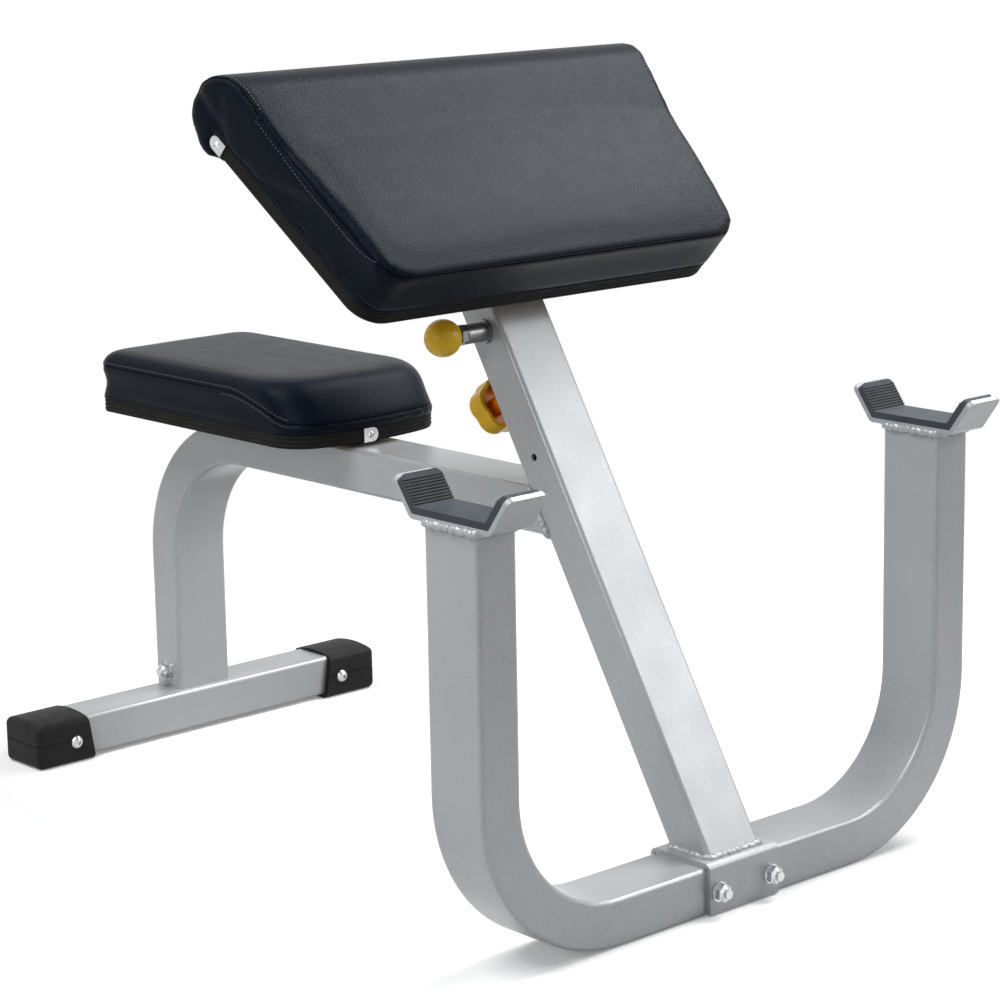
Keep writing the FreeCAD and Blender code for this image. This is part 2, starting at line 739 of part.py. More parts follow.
def pin_spring():
    """Coil between the pin's shoulder and the collar."""
    bottom = barrel_floor + pin_seat_gap + pin_shoulder_tall + spring_margin + spring_wire / 2
    top = barrel_tall - spring_margin - spring_wire / 2
    coil_radius = (pin_shaft + barrel_bore) / 4
    pitch = (top - bottom) / spring_turns
    steps = 4 * spring_turns
    climb = pitch / (2 * math.pi)

    def place(step):
        angle = step * math.pi / 2
        return Vector(coil_radius * math.cos(angle), coil_radius * math.sin(angle), bottom + climb * angle)

    def heading(step):
        angle = step * math.pi / 2
        return Vector(-coil_radius * math.sin(angle), coil_radius * math.cos(angle), climb).normalize()

    path = []
    for step in range(steps):
        path += two_arcs(place(step), heading(step), place(step + 1), heading(step + 1))
    section = Part.Wire([Part.Circle(place(0), heading(0), spring_wire / 2).toShape()])
    print("pin spring: least gap between turns", round(pitch - spring_wire, 2), "mm")
    return moved(Part.Wire(path).makePipeShell([section], True, False), pin_frame)


def clamp_boss():
    body = rod(boss_outer / 2, 0, boss_tall)
    body = body.makeChamfer(boss_tall / 8, edges_at(body, [Vector(0, 0, boss_tall)]))
    return moved(body.cut(rod(clamp_stem / 2 + clamp_clear, 0, boss_tall)), clamp_frame)


def clamp_tip():
    """Slug ahead of the screw that bears on the post without turning."""
    post_face = -tube_wall - guide_gap
    return moved(rod(clamp_stem / 2, post_face + clamp_tip_gap, clamp_tip_seat), clamp_frame)


def clamp_screw():
    end = knob_stand - knob_hub_front + knob_stem_depth
    return moved(rod(clamp_stem / 2, clamp_tip_seat, end), clamp_frame)


def star_outline(inset, height):
    """Lobes and valleys as tangent arcs, drawn in by a wall where it is asked for."""
    lobe = knob_lobe_radius - inset
    valley = knob_valley_radius + inset
    half_step = math.pi / knob_lobes
    reach = knob_lobe_radius + knob_valley_radius
    middle = knob_lobe_centre * math.cos(half_step)
    valley_centre = middle + math.sqrt(middle ** 2 - knob_lobe_centre ** 2 + reach ** 2)

    def polar(radius, angle):
        return Vector(radius * math.cos(angle), radius * math.sin(angle), height)

    def touch(lobe_angle, valley_angle):
        centre = polar(knob_lobe_centre, lobe_angle)
        return centre + (polar(valley_centre, valley_angle) - centre) * (lobe / reach)

    edges = []
    for number in range(knob_lobes):
        angle = 2 * half_step * number
        before = touch(angle, angle - half_step)
        after = touch(angle, angle + half_step)
        following = touch(angle + 2 * half_step, angle + half_step)
        edges.append(arc(before, polar(knob_lobe_centre + lobe, angle), after))
        edges.append(arc(after, polar(valley_centre - valley, angle + half_step), following))
    return Part.Wire(edges)


def star_knob():
    """Lobed knob, hollow towards the column, with a hub on the screw."""
    body = prism(star_outline(0, knob_stand), Vector(0, 0, knob_tall))
    rear_rim = [edge for edge in body.Edges if edge.BoundBox.ZMin > knob_stand + knob_tall / 2]
    body = body.makeFillet(knob_edge, rear_rim)
    body = body.cut(prism(star_outline(knob_rim_wall, knob_stand), Vector(0, 0, knob_pocket)))
    hub_start = knob_stand - knob_hub_front
    hub = rod(knob_hub / 2, hub_start, knob_stand + knob_tall / 2 + knob_pocket / 2)
    bore = rod(clamp_stem / 2 + thread_clear, 0, hub_start + knob_stem_depth)
    return moved(joined([body, hub]).cut(bore), clamp_frame)


def under_pad():
    """Where the post may not be: in the mounting plate and board, and past the plate's upper end."""
    above_plate = block(-far, far, -far, far, -mount_plate, far)
    past_plate = block(-far, pad_plate_upper, -far, far, -far, far)
    return [moved(above_plate, pad_frame), moved(past_plate, pad_frame)]


def sliding_post():
    """Inner tube with its adjusting holes down the pin's side, cut to meet the mounting plate."""
    top = column_length + 2 * pad_stand
    post = straight_tube(post_deep, post_wide, post_wall, post_corner, post_foot_height, top)
    holes = []
    for number in range(adjust_count):
        start = Vector(0, -post_wide / 2 - post_wall, pin_height - number * adjust_pitch)
        holes.append(Part.makeCylinder(pin_nose / 2 + hole_clear, 3 * post_wall, start, to_left))
    return moved(post.cut(holes), column_frame).cut(under_pad())


def post_guide_plug():
    """Plastic foot of the post, pressed into it, that slides on the column's bore."""
    head_bottom = post_foot_height - plug_tall
    head_deep = column_bore_deep - 2 * slide_clear
    head_wide = column_bore_wide - 2 * slide_clear
    head = rounded_rectangle(head_deep, head_wide, tube_wall, z=head_bottom)
    stem_deep = post_deep - 2 * post_wall - 2 * fixed_fit
    stem_wide = post_wide - 2 * post_wall - 2 * fixed_fit
    stem = rounded_rectangle(stem_deep, stem_wide, post_wall, z=post_foot_height)
    core_deep = stem_deep - 2 * plug_wall
    core_wide = stem_wide - 2 * plug_wall
    core = rounded_rectangle(core_deep, core_wide, post_wall, z=head_bottom + plug_wall)
    body = joined([prism(head, Vector(0, 0, plug_tall)), prism(stem, Vector(0, 0, plug_stem))])
    return moved(body.cut(prism(core, Vector(0, 0, plug_tall + plug_stem))), column_frame)


def bolt_grid(start, length, inset, spread):
    """Four fixing points of a mounting plate: along X from its start, and to both sides."""
    rows = (start + inset, start + length - inset)
    return [(x, side * spread / 2) for x in rows for side in (-1, 1)]


seat_plate_start = post_middle_x + bend_radius - seat_rear_x
seat_bolt_grid = bolt_grid(seat_plate_start, seat_plate_length, seat_bolt_inset, seat_bolt_spread)
pad_plate_upper = -pad_plate_start - pad_plate_length
pad_bolt_grid = bolt_grid(pad_plate_upper, pad_plate_length, pad_bolt_inset, pad_bolt_spread)


def plate_with_holes(start, length, width, grid):
    outline = rounded_rectangle(length, width, mount_corner, start + length / 2, 0, -mount_plate)
    plate = prism(outline, Vector(0, 0, mount_plate))
    return plate.cut([rod(pad_bolt / 2 + hole_clear, -mount_plate, 0, x, y) for x, y in grid])


def board_with_sockets(board, grid):
    """Board bored for its tee nuts, whose flanges lie flush with its upper face."""
    cuts = []
    for x, y in grid:
        cuts.append(rod(tee_barrel / 2 + fixed_fit, 0, board_thick, x, y))
        cuts.append(rod(tee_flange / 2 + fixed_fit, board_thick - tee_flange_thick, board_thick, x, y))
    return board.cut(cuts)


def tee_nuts(grid):
    bore = rod(pad_bolt / 2 + thread_clear, 0, board_thick)
    barrel = rod(tee_barrel / 2, tee_short, board_thick)
    nut = joined([barrel, rod(tee_flange / 2, board_thick - tee_flange_thick, board_thick)]).cut(bore)
    return Part.makeCompound([moved(nut, Placement(Vector(x, y, 0), Rotation())) for x, y in grid])


def pad_bolts(grid):
    length = mount_plate + board_thick - tee_flange_thick
    bolt = hex_bolt(pad_bolt, pad_bolt_flats, pad_bolt_head, length)
    places = [Placement(Vector(x, y, -mount_plate), Rotation()) for x, y in grid]
    return Part.makeCompound([moved(bolt, place) for place in places])


def seat_outline(grow, bottom, height, inset=0.0, front_inset=0.0):
    """Seat plan as an upright solid: square rear, bowed front, round corners, grown and then drawn in."""
    half = seat_width / 2 + grow - inset
    rear = inset - grow
    front = seat_length - seat_bow + grow - front_inset
    right_rear = Vector(rear, -half, bottom)
    right_front = Vector(front, -half, bottom)
    left_front = Vector(front, half, bottom)
    left_rear = Vector(rear, half, bottom)
    bowed = arc(right_front, Vector(front + seat_bow, 0, bottom), left_front)
    sides = [line(right_rear, right_front), bowed, line(left_front, left_rear), line(left_rear, right_rear)]
    body = prism(Part.Wire(sides), Vector(0, 0, height))
    lift = Vector(0, 0, height / 2)
    front_edges = edges_at(body, [right_front + lift, left_front + lift])
    body = body.makeFillet(seat_front_corner + grow, front_edges)
    rear_edges = edges_at(body, [right_rear + lift, left_rear + lift])
    return body.makeFillet(seat_rear_corner + grow, rear_edges)


def pad_half_width(from_front):
    return pad_front_width / 2 + math.tan(pad_taper) * from_front


def pad_outline(grow, bottom, height, length):
    """Arm pad plan as a solid square to the board: rounded front, sides that spread up the slope."""
    spread = grow / math.cos(pad_taper)
    front_half = pad_half_width(-grow) + spread
    rear_half = pad_half_width(length) + spread
    points = [
        Vector(grow, -front_half, bottom),
        Vector(grow, front_half, bottom),
        Vector(-length, rear_half, bottom),
        Vector(-length, -rear_half, bottom),
    ]
    body = prism(loop(points), Vector(0, 0, height))
    corners = [point + Vector(0, 0, height / 2) for point in points[:2]]
    return body.makeFillet(pad_corner + grow, edges_at(body, corners))


def cushion_section(x, half, seam, edge, rise, crown, draw):
    """Closed wire across a cushion at x: flat base, drawn-in sides, rounded shoulders and a crowned top."""

    def point(y, z):
        return Vector(x, y, z)

    lower = half - draw
    shoulder = half - edge
    top = seam + rise
    bow_side = half - edge * shoulder_bow_side_share
    bow_top = seam + rise * shoulder_bow_rise_share
    edges = [line(point(-half, 0), point(half, 0))]
    edges.append(arc(point(half, 0), point(lower, seam / 2), point(half, seam)))
    edges.append(arc(point(half, seam), point(bow_side, bow_top), point(shoulder, top)))
    edges.append(arc(point(shoulder, top), point(0, crown), point(-shoulder, top)))
    edges.append(arc(point(-shoulder, top), point(-bow_side, bow_top), point(-half, seam)))
    edges.append(arc(point(-half, seam), point(-lower, seam / 2), point(-half, 0)))
    return Part.Wire(edges)


def draw_in_bar(depth, height):
    """Long cylinder across Y whose bulge hollows an end face, standing on its edge at X = 0."""
    radius = (height ** 2 / 4 + depth ** 2) / (2 * depth)
    return Part.makeCylinder(radius, 2 * far, Vector(radius - depth, -far, height / 2), to_left)


def seat_cushion():
    """Flat-topped cushion with drawn-in sides and rounded shoulders, whose front falls to a low seam."""
    grow = trim_thick + cushion_over
    shoulder = seat_crown - seat_seam
    layers = [
        (0, 0, 0),
        (seat_front_seam, seat_draw, 0),
        ((seat_front_seam + seat_seam) / 2, seat_draw, seat_front_roll * seat_front_seam_share),
        (seat_seam, 0, seat_front_roll * seat_front_side_share),
    ]
    for rise, inset, roll in seat_shoulder_levels:
        layers.append((seat_seam + shoulder * rise, seat_edge * inset, seat_front_roll * roll))
    layers.append((seat_crown, seat_edge, seat_front_roll))
    wires = []
    for height, inset, front_inset in layers:
        slab = seat_outline(grow, height, board_thick, inset, front_inset)
        lowest = min(slab.Faces, key=lambda face: face.CenterOfMass.z)
        wires.append(lowest.OuterWire)
    return Part.makeLoft(wires, True, False, False, loft_degree).translated(Vector(0, 0, board_thick))


def pad_roll(grow):
    """Bolster over the board's upper end, with a ramp that runs down from its top into the slab."""
    half = pad_half_width(roll_from_front + 2 * roll_radius) + grow
    centre = Vector(-roll_from_front, -half, roll_top - roll_radius)
    foot = Vector(-ramp_start, -half, pad_seam - ramp_sink)
    span = foot - centre
    touch_angle = math.atan2(span.z, span.x) + math.acos(roll_radius / span.Length)

    def on_roll(angle):
        return centre + Vector(math.cos(angle), 0, math.sin(angle)) * roll_radius

    touch = on_roll(touch_angle)
    bottom = on_roll(3 * math.pi / 2)
    rear = on_roll((touch_angle + 3 * math.pi / 2) / 2)
    outline = Part.Wire([line(foot, touch), arc(touch, rear, bottom), line(bottom, foot)])
    roll = prism(outline, Vector(0, 2 * half, 0))
    reach = roll_from_front + 2 * roll_radius
    roll = roll.common(pad_outline(grow, -2 * roll_radius, 4 * roll_radius, reach))
    end_edges = []
    for edge in roll.Edges:
        middle = edge.CenterOfMass
        on_ramp_or_rear = middle.z > roll_top / 2 or middle.x < -roll_from_front
        if edge.Length < half and on_ramp_or_rear:
            end_edges.append(edge)
    return roll.makeFillet(roll_edge, end_edges)


def pad_cushion():
    """Crowned slab with drawn-in sides, rolled over the board's upper end in a thick bolster."""
    grow = trim_thick + cushion_over
    rise = pad_rise * pad_shoulder_share
    sections = [
        (-grow, pad_seam, rise * 0.5, pad_crown * 0.93),
        (roll_from_front * 0.15, pad_seam, rise, pad_crown * 0.99),
        (roll_from_front * 0.5, pad_seam, rise, pad_crown),
        (roll_from_front, pad_seam - rise, rise * 0.6, pad_seam),
    ]
    wires = []
    for from_front, seam, lift, crown in sections:
        half = pad_half_width(from_front) + grow
        wires.append(cushion_section(-from_front, half, seam, pad_edge, lift, crown, pad_draw))
    slab = Part.makeLoft(wires, True, False, False, loft_degree)
    slab = slab.cut(draw_in_bar(pad_draw, pad_seam).translated(Vector(grow, 0, 0)))
    slab = slab.common(pad_outline(grow, -pad_crown, 3 * pad_crown, roll_from_front))
    roll = pad_roll(grow)
    clip_room = clip_thick + clip_screw_head_tall
    board_room = pad_outline(grow + clip_room, -board_thick, board_thick, pad_length)
    return slab.fuse(roll).cut(board_room).translated(Vector(0, 0, board_thick))


def seat_board():
    return board_with_sockets(seat_outline(0, 0, board_thick), seat_bolt_grid)


def seat_edge_trim():
    return seat_outline(trim_thick, 0, board_thick).cut(seat_outline(0, 0, board_thick))


def trim_clip(thick):
    """Bright clip, rounded at one end, lying on its back at Z = 0."""
    half_wide = clip_wide / 2
    half_tall = board_thick / 2
    body = block(-half_wide, half_wide, -half_tall, half_tall, 0, thick)
    ends = [Vector(half_wide, side * half_tall, thick / 2) for side in (-1, 1)]
    body = body.makeFillet(clip_round, edges_at(body, ends))
    return body.cut(rod(clip_screw / 2 + thread_clear, 0, thick))


def clip_screw_piece(thick):
    screw = button_screw(clip_screw, clip_screw_head, clip_screw_head_tall, clip_screw_length)
    return moved(screw, Placement(Vector(0, 0, thick), Rotation()))


def seat_front_at(y):
    """X of the bowed front edge of the seat's trim at a given Y."""
    half = seat_width / 2 + trim_thick
    radius = (half ** 2 + seat_bow ** 2) / (2 * seat_bow)
    return seat_length + trim_thick - radius + math.sqrt(radius ** 2 - y ** 2)


def pad_side_frame(side):
    """Frame on the side of the arm pad's board, Z outwards and X up the slope, where the trim ends."""
    outward = Vector(math.sin(pad_taper), side * math.cos(pad_taper), 0)
    up_slope = Vector(-math.cos(pad_taper), side * math.sin(pad_taper), 0)
    base = Vector(-pad_clip_middle, side * pad_half_width(pad_clip_middle), board_thick / 2)
    return Placement(base, Rotation(up_slope, outward.cross(up_slope), outward, "ZXY"))


def seat_clip_frame():
    """Frame on the front of the seat's trim, Z forwards and X level."""
    outward = Vector(1, 0, 0)
    along = Vector(0, 1, 0)
    nearest_middle = max(abs(seat_clip_offset) - clip_wide / 2, 0)
    base = Vector(seat_front_at(nearest_middle), seat_clip_offset, board_thick / 2)
    return Placement(base, Rotation(along, outward.cross(along), outward, "ZXY"))


def screw_hole(frame):
    return moved(rod(clip_screw / 2 + thread_clear, -clip_screw_length, clip_screw_length), frame)


def pad_board():
    board = board_with_sockets(pad_outline(0, 0, board_thick, pad_length), pad_bolt_grid)
    return board.cut([screw_hole(pad_side_frame(side)) for side in (-1, 1)])


def pad_edge_trim():
    """Strip round the front and sides of the board, up to the clips."""
    board = pad_outline(0, 0, board_thick, pad_length)
    strip = pad_outline(trim_thick, 0, board_thick, pad_length).cut(board)
    return strip.cut(block(-far, -pad_trim_end, -far, far, -far, far))


def both_sides(piece):
    return Part.makeCompound([moved(piece, pad_side_frame(side)) for side in (-1, 1)])


seat_clip_hole = screw_hole(seat_clip_frame())

nodes = {
    "front_frame_tube": front_frame_tube(),
    "bar_holder_right": bar_holder(-1),
    "bar_holder_left": bar_holder(1),
    "holder_liner_right": holder_liner(-1),
    "holder_liner_left": holder_liner(1),
    "saddle_bracket": saddle_bracket(),
    "saddle_bolts": saddle_bolts(),
    "frame_washers": frame_washers(),
    "frame_lock_nuts": frame_lock_nuts(),
    "column_tube": column_tube(),
    "column_guide_sleeve": column_guide_sleeve(),
    "seat_beam": seat_beam(),
    "rear_crossbar": rear_crossbar(),
    "rear_stub": rear_stub(),
    "rear_post_bolt": rear_post_bolt(),
    "foot_cap_right": foot_cap(-1),
    "foot_cap_left": foot_cap(1),
    "foot_cap_screws": foot_cap_screws(),
    "pin_barrel": pin_barrel(),
    "pin_collar": pin_collar(),
    "pin_plunger": pin_plunger(),
    "pin_spring": pin_spring(),
    "ball_knob": ball_knob(),
    "clamp_boss": clamp_boss(),
    "clamp_tip": clamp_tip(),
    "clamp_screw": clamp_screw(),
    "star_knob": star_knob(),
    "sliding_post": sliding_post(),
    "post_guide_plug": post_guide_plug(),
    "seat_mount_plate": moved(
        plate_with_holes(seat_plate_start, seat_plate_length, seat_plate_width, seat_bolt_grid), seat_frame
    ),
    "seat_bolts": moved(pad_bolts(seat_bolt_grid), seat_frame),
    "seat_tee_nuts": moved(tee_nuts(seat_bolt_grid), seat_frame),
    "seat_board": moved(seat_board().cut(seat_clip_hole), seat_frame),
    "seat_edge_trim": moved(seat_edge_trim().cut(seat_clip_hole), seat_frame),
    "seat_trim_clip": moved(trim_clip(clip_thick), seat_frame * seat_clip_frame()),
    "seat_clip_screw": moved(clip_screw_piece(clip_thick), seat_frame * seat_clip_frame()),
    "seat_cushion": moved(seat_cushion(), seat_frame),
    "pad_mount_plate": moved(
        plate_with_holes(pad_plate_upper, pad_plate_length, pad_plate_width, pad_bolt_grid), pad_frame
    ),
    "pad_bolts": moved(pad_bolts(pad_bolt_grid), pad_frame),
    "pad_tee_nuts": moved(tee_nuts(pad_bolt_grid), pad_frame),
    "pad_board": moved(pad_board(), pad_frame),
    "pad_edge_trim": moved(pad_edge_trim(), pad_frame),
    "pad_trim_clips": moved(both_sides(trim_clip(pad_clip_thick)), pad_frame),
    "pad_clip_screws": moved(both_sides(clip_screw_piece(pad_clip_thick)), pad_frame),
    "pad_cushion": moved(pad_cushion(), pad_frame),
}

os.makedirs("parts", exist_ok=True)
whole_box = FreeCAD.BoundBox()
for name, shape in nodes.items():
    shape.translate(Vector(-centre_x, 0, 0))
    whole_box.add(shape.optimalBoundingBox(False, False))
    print(name, "solids", len(shape.Solids), "valid", shape.isValid(), "volume", round(shape.Volume))
    shape.exportStep(os.path.join("parts", name + ".step"))
print("box", whole_box)
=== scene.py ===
import math
import bpy
import bmesh
from mathutils import Matrix, Vector
from mathutils.bvhtree import BVHTree
from mathutils.kdtree import KDTree


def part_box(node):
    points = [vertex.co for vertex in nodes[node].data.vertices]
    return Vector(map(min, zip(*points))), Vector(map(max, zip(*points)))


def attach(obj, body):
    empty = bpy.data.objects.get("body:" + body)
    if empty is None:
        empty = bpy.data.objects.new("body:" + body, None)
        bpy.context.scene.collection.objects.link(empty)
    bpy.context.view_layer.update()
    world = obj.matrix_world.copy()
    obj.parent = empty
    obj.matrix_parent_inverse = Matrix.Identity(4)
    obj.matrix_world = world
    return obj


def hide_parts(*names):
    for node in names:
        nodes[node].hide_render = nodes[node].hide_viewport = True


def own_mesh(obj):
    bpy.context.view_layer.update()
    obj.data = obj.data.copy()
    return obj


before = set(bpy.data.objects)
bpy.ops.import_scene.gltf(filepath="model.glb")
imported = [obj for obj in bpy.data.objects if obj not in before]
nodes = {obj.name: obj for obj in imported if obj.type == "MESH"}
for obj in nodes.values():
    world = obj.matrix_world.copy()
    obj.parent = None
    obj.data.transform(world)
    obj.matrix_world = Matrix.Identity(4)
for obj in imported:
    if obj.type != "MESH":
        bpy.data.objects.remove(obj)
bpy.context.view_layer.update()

scene = bpy.context.scene
print("frame loaded:", len(nodes), "nodes")

# Sizes of the bench that the dressing has to meet, in metres
bench = {
    "centreX": -0.45975,  # the row's origin, seen from the front frame's front face
    "tubeWide": 0.075,
    "tubeDeep": 0.050,
    "tubeCorner": 0.005,
    "armY": 0.325,
    "armTop": 0.446,
    "saddleTop": 0.055,
    "columnLean": math.radians(30.5),
    "columnToBoard": 0.78946,
    "clampHeight": 0.52096,
    "beamTop": 0.402,
    "boardThick": 0.016,
    "trimThick": 0.0025,
    "cushionOver": 0.0015,
}
pad = {
    "slope": math.radians(42.5),
    "axisFromFront": 0.208,
    "frontHalf": 0.244,
    "taper": math.tan(math.radians(8.5)),
    "corner": 0.034,
    "seam": 0.054,
    "boardEnd": 0.2575,
    "rollFromFront": 0.253,
    "rollRadius": 0.048,
    "rollTop": 0.065,
    "rampStart": 0.110,
    "postHalf": 0.0323,
    "postMeet": (0.124, 0.205),
    "plateThick": 0.005,
}
seat = {
    "rearX": -0.9455,
    "length": 0.384,
    "half": 0.108,
    "bow": 0.018,
    "frontCorner": 0.046,
    "rearCorner": 0.016,
    "seam": 0.039,
    "frontSeam": 0.012,
    "seamFall": 0.129,
    "plateStart": 0.1685,
    "plateLength": 0.160,
}


def rowPoint(x, y, z):
    return Vector((x - bench["centreX"], y, z))


def columnPoint(x, y, z):
    lean = bench["columnLean"]
    acrossX = x * math.cos(lean) - z * math.sin(lean)
    upZ = x * math.sin(lean) + z * math.cos(lean)
    return rowPoint(acrossX - bench["tubeWide"] / 2, y, upZ + bench["saddleTop"])


def frameMatrix(origin, alongX, alongZ):
    alongY = alongZ.cross(alongX)
    turn = Matrix((alongX, alongY, alongZ)).transposed().to_4x4()
    return Matrix.Translation(origin) @ turn


downSlope = Vector((math.cos(pad["slope"]), 0, -math.sin(pad["slope"])))
outOfBoard = Vector((math.sin(pad["slope"]), 0, math.cos(pad["slope"])))
boardFront = columnPoint(0, 0, bench["columnToBoard"]) + downSlope * pad["axisFromFront"]
padFrame = frameMatrix(boardFront, downSlope, outOfBoard)
seatFrame = Matrix.Translation(rowPoint(seat["rearX"], 0, bench["beamTop"] + pad["plateThick"]))
grow = bench["trimThick"] + bench["cushionOver"]


# Materials

def startMaterial(name):
    made = bpy.data.materials.new(name)
    made.use_nodes = True
    tree = made.node_tree
    shader = tree.nodes["Principled BSDF"]
    place = tree.nodes.new("ShaderNodeTexCoord").outputs["Object"]
    return made, tree, shader, place


def addNoise(tree, place, scale, detail=3.0, stretch=None):
    if stretch:
        mapping = tree.nodes.new("ShaderNodeMapping")
        mapping.inputs["Scale"].default_value = stretch
        tree.links.new(place, mapping.inputs["Vector"])
        place = mapping.outputs["Vector"]
    noise = tree.nodes.new("ShaderNodeTexNoise")
    noise.inputs["Scale"].default_value = scale
    noise.inputs["Detail"].default_value = detail
    tree.links.new(place, noise.inputs["Vector"])
    return noise.outputs["Fac"]


def addCells(tree, place, scale):
    cells = tree.nodes.new("ShaderNodeTexVoronoi")
    cells.feature = "SMOOTH_F1"
    cells.inputs["Scale"].default_value = scale
    tree.links.new(place, cells.inputs["Vector"])
    return cells.outputs["Distance"]


def spread(tree, value, low, high, fromLow=0.3, fromHigh=0.7):
    ranged = tree.nodes.new("ShaderNodeMapRange")
    ranged.inputs["From Min"].default_value = fromLow
    ranged.inputs["From Max"].default_value = fromHigh
    ranged.inputs["To Min"].default_value = low
    ranged.inputs["To Max"].default_value = high
    tree.links.new(value, ranged.inputs["Value"])
    return ranged.outputs["Result"]


def blendColours(tree, factor, first, second):
    mix = tree.nodes.new("ShaderNodeMix")
    mix.data_type = "RGBA"
    tree.links.new(factor, mix.inputs[0])
    for socket, colour in ((mix.inputs[6], first), (mix.inputs[7], second)):
        if isinstance(colour, tuple):
            socket.default_value = (*colour, 1)
        else:
            tree.links.new(colour, socket)
    return mix.outputs[2]


def addHeights(tree, first, second, share):
    total = tree.nodes.new("ShaderNodeMath")
    total.operation = "MULTIPLY_ADD"
    total.inputs[1].default_value = share
    tree.links.new(second, total.inputs[0])
    tree.links.new(first, total.inputs[2])
    return total.outputs[0]


def addRoughness(tree, shader, noise, low, high):
    tree.links.new(spread(tree, noise, low, high), shader.inputs["Roughness"])


def addBump(tree, shader, height, depth):
    bump = tree.nodes.new("ShaderNodeBump")
    bump.inputs["Strength"].default_value = 1.0
    bump.inputs["Distance"].default_value = depth
    tree.links.new(height, bump.inputs["Height"])
    tree.links.new(bump.outputs["Normal"], shader.inputs["Normal"])


def silverCoat():
    made, tree, shader, place = startMaterial("silver powder coat")
    drift = spread(tree, addNoise(tree, place, 5, 4), 0, 1)
    base = blendColours(tree, drift, (0.37, 0.385, 0.40), (0.42, 0.435, 0.45))
    flakes = spread(tree, addNoise(tree, place, 1100, 1), 0, 1, 0.55, 0.8)
    colour = blendColours(tree, flakes, base, (0.62, 0.64, 0.66))
    tree.links.new(colour, shader.inputs["Base Color"])
    shader.inputs["Metallic"].default_value = 0.25
    shader.inputs["Specular IOR Level"].default_value = 0.5
    addRoughness(tree, shader, addNoise(tree, place, 24, 5), 0.30, 0.37)
    peel = addHeights(tree, addNoise(tree, place, 420, 2), addNoise(tree, place, 1500, 1), 0.4)
    addBump(tree, shader, peel, 0.00012)
    return made


def blackVinyl():
    made, tree, shader, place = startMaterial("black grained vinyl")
    drift = spread(tree, addNoise(tree, place, 14, 4), 0, 1)
    pits = addCells(tree, place, 850)
    tone = blendColours(tree, drift, (0.0024, 0.0046, 0.0098), (0.0034, 0.0062, 0.0124))
    pitted = blendColours(tree, spread(tree, pits, 0, 1, 0.0, 0.5), (0.0016, 0.0022, 0.0040), tone)
    tree.links.new(pitted, shader.inputs["Base Color"])
    addRoughness(tree, shader, addNoise(tree, place, 40, 4), 0.33, 0.37)
    shader.inputs["Specular IOR Level"].default_value = 0.06
    shader.inputs["Specular Tint"].default_value = (0.75, 0.9, 1, 1)
    grain = addHeights(tree, pits, addNoise(tree, place, 480, 3), 0.8)
    addBump(tree, shader, grain, 0.00024)
    return made


def seamThread():
    made, tree, shader, place = startMaterial("seam thread")
    twist = addNoise(tree, place, 2600, 2)
    colour = blendColours(tree, spread(tree, twist, 0, 1), (0.055, 0.061, 0.070), (0.11, 0.118, 0.13))
    tree.links.new(colour, shader.inputs["Base Color"])
    shader.inputs["Roughness"].default_value = 0.55
    addBump(tree, shader, twist, 0.0002)
    return made


# painted shadow: a near-black, matt material for the thin strip that stands in for the shade in a seam's
# groove
def seamShadowStrip():
    made, tree, shader, place = startMaterial("painted seam shadow")
    shade = spread(tree, addNoise(tree, place, 200, 3), 0, 1)
    colour = blendColours(tree, shade, (0.0006, 0.0008, 0.0012), (0.0016, 0.0020, 0.0028))
    tree.links.new(colour, shader.inputs["Base Color"])
    shader.inputs["Roughness"].default_value = 0.8
    shader.inputs["Specular IOR Level"].default_value = 0.02
    return made


def rubber(name, dark, pale, grainScale, roughLow, roughHigh, shine):
    made, tree, shader, place = startMaterial(name)
    bloom = spread(tree, addNoise(tree, place, 30, 5), 0, 1)
    tree.links.new(blendColours(tree, bloom, dark, pale), shader.inputs["Base Color"])
    addRoughness(tree, shader, addNoise(tree, place, 90, 4), roughLow, roughHigh)
    shader.inputs["Specular IOR Level"].default_value = shine
    addBump(tree, shader, addNoise(tree, place, grainScale, 3), 0.00015)
    return made


def brightSteel(name, dark, pale, roughLow, roughHigh):
    made, tree, shader, place = startMaterial(name)
    stain = spread(tree, addNoise(tree, place, 70, 5), 0, 1)
    tree.links.new(blendColours(tree, stain, dark, pale), shader.inputs["Base Color"])
    shader.inputs["Metallic"].default_value = 1.0
    addRoughness(tree, shader, addNoise(tree, place, 240, 4), roughLow, roughHigh)
    addBump(tree, shader, addNoise(tree, place, 900, 2), 0.00004)
    return made


def glossPlastic(name, dark, pale, paintedHollowShade):
    # painted shade: an ambient occlusion mask turns the colour deep orange in the piece's own hollows,
    # standing in for the shade and bounced light there
    made, tree, shader, place = startMaterial(name)
    swirl = spread(tree, addNoise(tree, place, 18, 4), 0, 1)
    openness = tree.nodes.new("ShaderNodeAmbientOcclusion")
    openness.only_local = True
    openness.inputs["Distance"].default_value = 0.025
    outside = spread(tree, openness.outputs["AO"], 0, 1, 0.35, 0.85)
    colour = blendColours(tree, outside, paintedHollowShade, blendColours(tree, swirl, dark, pale))
    tree.links.new(colour, shader.inputs["Base Color"])
    addRoughness(tree, shader, addNoise(tree, place, 160, 4), 0.22, 0.32)
    shader.inputs["Specular IOR Level"].default_value = 0.22
    shader.inputs["Subsurface Weight"].default_value = 0.08
    shader.inputs["Subsurface Radius"].default_value = (0.006, 0.003, 0.001)
    addBump(tree, shader, addNoise(tree, place, 300, 2), 0.00003)
    return made


